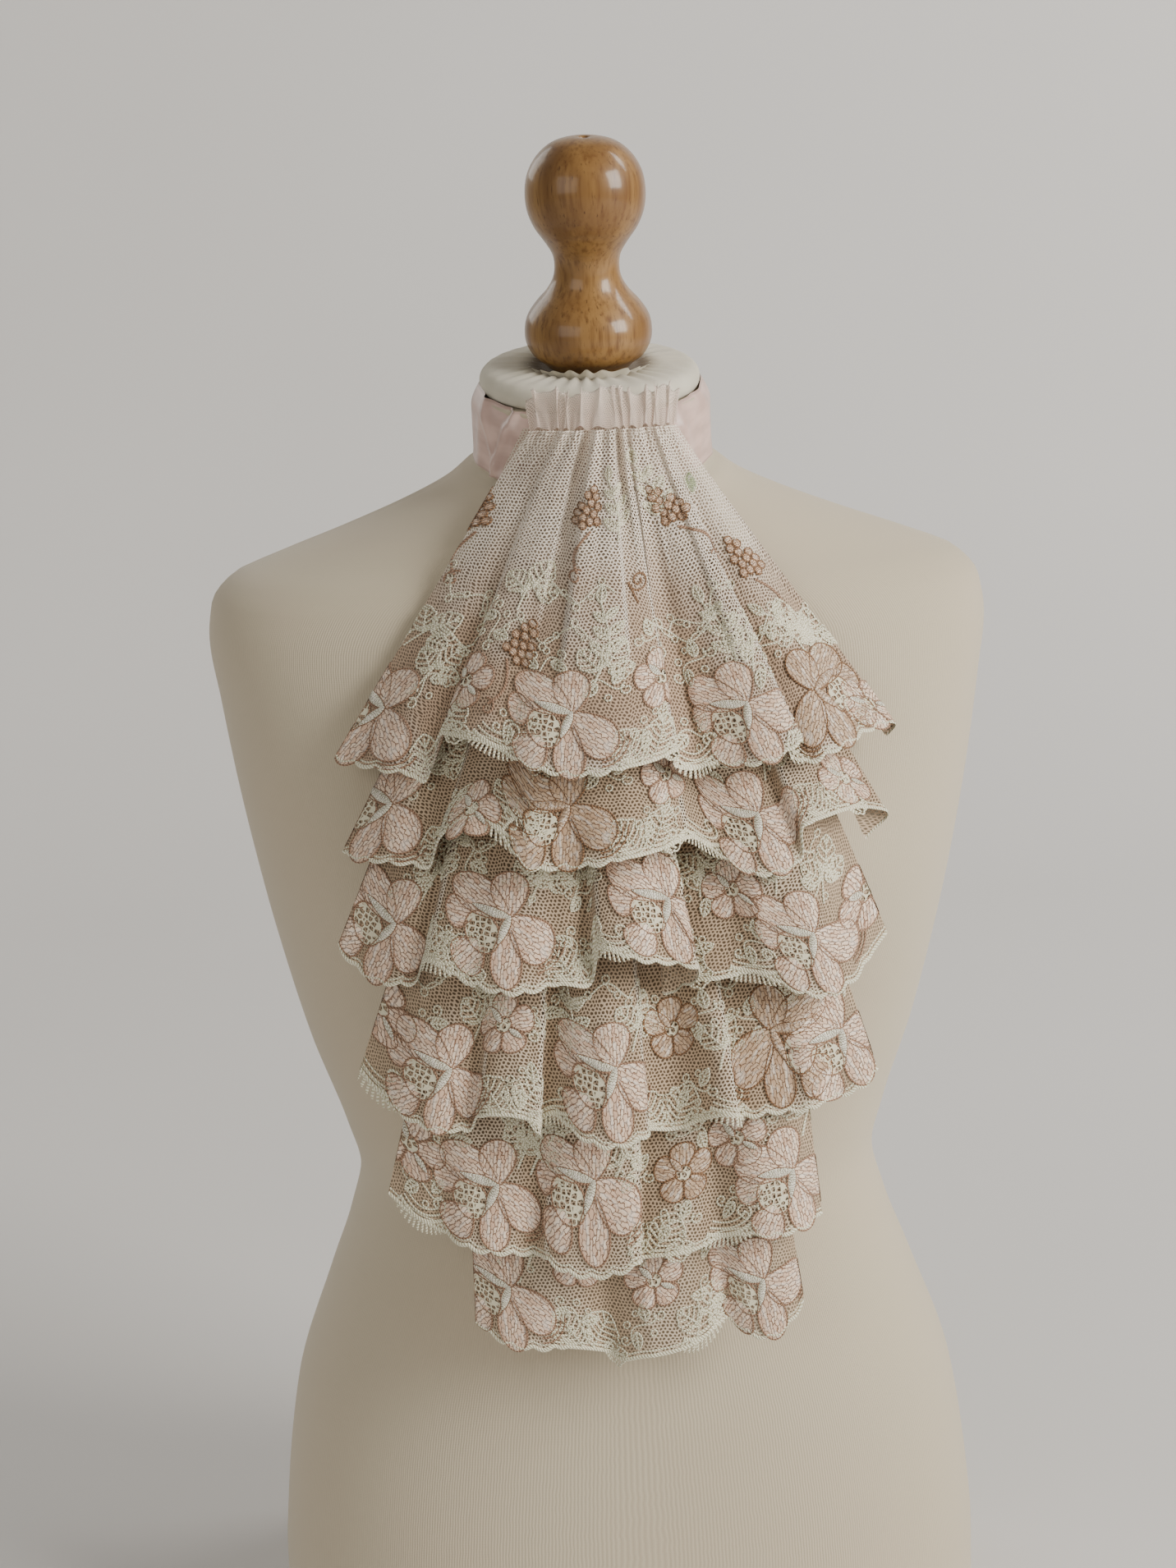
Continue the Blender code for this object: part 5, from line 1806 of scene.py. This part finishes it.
def hang_tier(tier, under_map):
    """Builds one tier's net and embroidery and returns the depth map for the next."""
    cloth = TierCloth(tier, under_map)
    placed = [(motif, *cloth.find(motif.across, motif.height)) for motif in MOTIFS[tier.name]]
    flowers = sorted(s for motif, s, v in placed if motif.kind in LARGE_FLOWERS)
    s = np.linspace(0, cloth.length, int(cloth.length / NET_COLUMN) + 1)
    drop = cloth.drop(s)
    net, points, depth = net_of(cloth, s, drop, flowers)
    embroidery = embroidery_of(cloth, placed, flowers)
    for piece in (net, embroidery):
        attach(piece, "root")
    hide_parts(tier.name)
    return map_of(points, depth)


depth_map = empty_map()
for tier in reversed(TIERS):
    depth_map = hang_tier(tier, depth_map)

# %% [markdown]
# The backing.
# A plain shaped panel of tulle carries the strips. It is seen only through their holes and from
# the side, so a grid that follows the hanging surface is enough: across by the row's half width,
# down by even steps.

# %% Backing panel
BackingRow = namedtuple("BackingRow", "height half_width")
BACKING_ROWS = [
    BackingRow(372, 80), BackingRow(448, 82), BackingRow(502, 80), BackingRow(556, 76),
    BackingRow(608, 58), BackingRow(652, 36),
]
BACKING_SET_BACK = 0.3 * MM
BACKING_STEPS = (120, 60)
# The backing's even tone is painted shade, as the panel hangs behind the strips; it browns its threads and
# partly fills its holes.
BACKING_TONE = 0.3
plain_net = net_finish("plain_tulle", 1.5, 0.42, colour(214, 202, 186), colour(186, 166, 144),
                       colour(150, 126, 102), 0.6)
panel_height = np.linspace(BACKING_ROWS[-1].height, BACKING_ROWS[0].height, BACKING_STEPS[0])[:, None] * MM
panel_half = table_column(BACKING_ROWS, "half_width", panel_height) * MM
panel_across = panel_half * np.linspace(-1, 1, BACKING_STEPS[1])
panel_height = np.broadcast_to(panel_height, panel_across.shape)
panel_depth = hang_front(panel_across, panel_height) - CLOTH_WALL / 2 - BACKING_SET_BACK
panel = np.stack([panel_across, -panel_depth, panel_height], axis=-1)
panel_flat = np.stack([panel_across, panel_height], axis=-1) / MM
panel_tone = np.full(panel_across.shape, BACKING_TONE)
backing_panel = add_grid("backing_panel", panel, plain_net, panel_flat, tone=panel_tone)
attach(backing_panel, "root")
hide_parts("backing")
print("backing:", len(backing_panel.data.polygons), "faces")

# %% [markdown]
# The header.
# Above the stitching line the tulle stands up as a small doubled frill, drawn into uneven pleats
# by the gathering thread. It is one strip folded over at its top, so its section runs up in front,
# over and down behind.

# %% Header frill
FRILL_FOOT = 651.5
FRILL_HEIGHT = 19.0
FRILL_HALF_WIDTH = 36.0
FRILL_SHIFT = 3.0
FRILL_PLEATS = 12
FRILL_COLUMNS = 330
FRILL_STEPS = 27
FRILL_RUFFLE = 5.0
FRILL_LEAN = 2.0
FRILL_SWAY = 2.2
FRILL_LAYER = 0.45
FRILL_FOOT_WAVE = 1.5
FRILL_TOP_WAVES = (1.6, 2.1, 1.2)
FRILL_CORNER_DROP = 4.0
FRILL_FLAT_LENGTH = 150
frill_net = net_finish("frill_tulle", 1.0, 0.3, colour(242, 226, 214), colour(204, 176, 158),
                       colour(216, 196, 180), 0.5)


def frill_surface(share, around):
    """Pleats are a sine of the share with a wandering phase; around runs up the front layer,
    0 to 0.5, and down the back layer, 0.5 to 1. The top edge rises and falls with the pleats, is
    lower at both ends, and leans forward."""
    rise = 1 - np.abs(2 * around - 1)
    wander = 2.4 * np.sin(7 * share + 0.6) + 1.6 * np.sin(17 * share + 2.0) + 0.9 * np.sin(31 * share)
    leaning = 1.5 * rise * np.sin(11 * share + 1.0) + 0.9 * rise * np.sin(23 * share)
    phase = 2 * math.pi * FRILL_PLEATS * share + wander + leaning
    depth = 0.62 + 0.38 * np.sin(13 * share + 0.5) * np.sin(29 * share + 1.0)
    wave = depth * np.sin(phase)
    finer = np.sin(2.6 * phase + 1.3) * (0.5 + 0.5 * np.sin(9 * share))
    corner = FRILL_CORNER_DROP * np.abs(2 * share - 1) ** 10
    slow, pleated, crimped = FRILL_TOP_WAVES
    top_wave = slow * np.sin(2 * math.pi * 2.3 * share + 0.4) + pleated * wave + crimped * finer
    top = FRILL_HEIGHT + top_wave - corner
    across = FRILL_SHIFT + FRILL_HALF_WIDTH * (2 * share - 1) + FRILL_SWAY * rise * np.cos(phase)
    height = (FRILL_FOOT + top * rise + FRILL_FOOT_WAVE * wave * (1 - rise)) * MM
    ruffle = (0.35 + 0.65 * rise) * FRILL_RUFFLE / 2 * (1 + 0.85 * wave + 0.3 * finer)
    layer = FRILL_LAYER * np.sin(math.pi * np.clip(rise, 0, 1)) * np.sign(0.5 - around)
    out = ruffle + FRILL_LEAN * rise**1.5 + layer
    forward = hang_front(across * MM, height) + SEAM_GAP + CLOTH_WALL / 2 + out * MM
    return np.stack([across * MM, -forward, height + 0 * across], axis=-1), wave


share = np.linspace(0, 1, FRILL_COLUMNS)[None, :]
around = np.linspace(0.0, 1.0, FRILL_STEPS)[:, None]
frill, pleat = frill_surface(share, around)
frill_flat = np.stack(np.broadcast_arrays(share * FRILL_FLAT_LENGTH, around * 2 * FRILL_HEIGHT), axis=-1)
# Painted shade: the tone browns the troughs of the pleats, less towards the fold at the top.
frill_tone = np.clip(0.3 - 0.4 * pleat, 0, 1) * (0.3 + 0.7 * np.abs(2 * around - 1))
header = add_grid("header", frill[::-1], frill_net, frill_flat[::-1], tone=frill_tone[::-1])
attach(header, "root")
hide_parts("header_frill")
print("header:", len(header.data.polygons), "faces")

# %% [markdown]
# Floor and light.
# A plain pale sweep stands in for the studio: a floor that curves up into a wall, so that no edge
# shows, with room to walk round the form. The main light is a large soft window on the right, only
# a little in front, as the folds' shadows say. A weak one fills the left, one is thrown on the wall,
# one keeps the back from going dark, and the pale surroundings fill in the rest.

# %% Sweep
SWEEP_HALF_WIDTH = 9.0
SWEEP_FRONT = -12.0
SWEEP_WALL = 2.8
SWEEP_RADIUS = 1.3
SWEEP_HEIGHT = 5.0
SWEEP_BEND_STEPS = 24
SWEEP_COLUMNS = 9


def sweep_profile():
    """Floor, quarter circle, wall: y and z along the sweep."""
    angle = np.linspace(0, math.pi / 2, SWEEP_BEND_STEPS)
    bend_y = SWEEP_WALL - SWEEP_RADIUS + SWEEP_RADIUS * np.sin(angle)
    bend_z = SWEEP_RADIUS - SWEEP_RADIUS * np.cos(angle)
    return (np.concatenate([[SWEEP_FRONT], bend_y, [SWEEP_WALL]]),
            np.concatenate([[0.0], bend_z, [SWEEP_HEIGHT]]))


def paint_finish():
    """Matt wall paint: faint roller texture and slow changes of shade."""
    paint = Finish("pale_paint", 0.85)
    slow = paint.noise(paint.place(), 1.3, 2)
    fine = paint.noise(paint.place(), 160.0, 2)
    paint.set(Base_Color=paint.mix(slow, colour(206, 204, 202), colour(216, 214, 212)))
    paint.relief(fine, 0.05, 0.001)
    return paint.material


sweep_y, sweep_z = sweep_profile()
sweep_x = np.linspace(-SWEEP_HALF_WIDTH, SWEEP_HALF_WIDTH, SWEEP_COLUMNS)[None, :]
sweep = np.stack(np.broadcast_arrays(sweep_x, sweep_y[::-1, None], sweep_z[::-1, None]), axis=-1)
backdrop = add_grid("backdrop", sweep, paint_finish())
print("sweep: floor and wall", 2 * SWEEP_HALF_WIDTH, "m wide")

# %% Lights
Lamp = namedtuple("Lamp", "name place target size power tint")
LAMPS = [
    Lamp("window", (2.5, -1.6, 1.75), (0, 0, 0.5), (1.4, 1.8), 132, (1.0, 0.965, 0.90)),
    Lamp("room", (-2.0, -2.6, 1.5), (0, 0, 0.4), (2.4, 2.0), 26, (1.0, 0.965, 0.90)),
    Lamp("wall", (1.9, 0.3, 2.5), (1.6, 2.8, 1.2), (1.2, 1.2), 60, (1.0, 0.98, 0.95)),
    Lamp("back", (-1.7, 2.0, 2.0), (0, 0, 0.5), (1.5, 1.5), 16, (1.0, 0.97, 0.92)),
]
WORLD_COLOUR = colour(230, 226, 218)
WORLD_STRENGTH = 0.27


def soft_light(name, place, target, size, power, tint):
    """An area light of a size in metres and a power in watts, aimed at a point."""
    light = bpy.data.lights.new(name, "AREA")
    light.shape = "RECTANGLE"
    light.size, light.size_y = size
    light.energy = power
    light.color = tint
    lamp = bpy.data.objects.new(name, light)
    away = unit(np.array(place) - np.array(target))
    side = unit(np.cross([0, 0, 1], away))
    lamp.matrix_world = standing(side, np.cross(away, side), away, place)
    bpy.context.scene.collection.objects.link(lamp)


for lamp in LAMPS:
    soft_light(*lamp)
world = bpy.data.worlds.new("studio")
world.use_nodes = True
surroundings = world.node_tree.nodes["Background"].inputs
surroundings["Color"].default_value = WORLD_COLOUR
surroundings["Strength"].default_value = WORLD_STRENGTH
bpy.context.scene.world = world
print("lights:", [lamp.name for lamp in LAMPS])
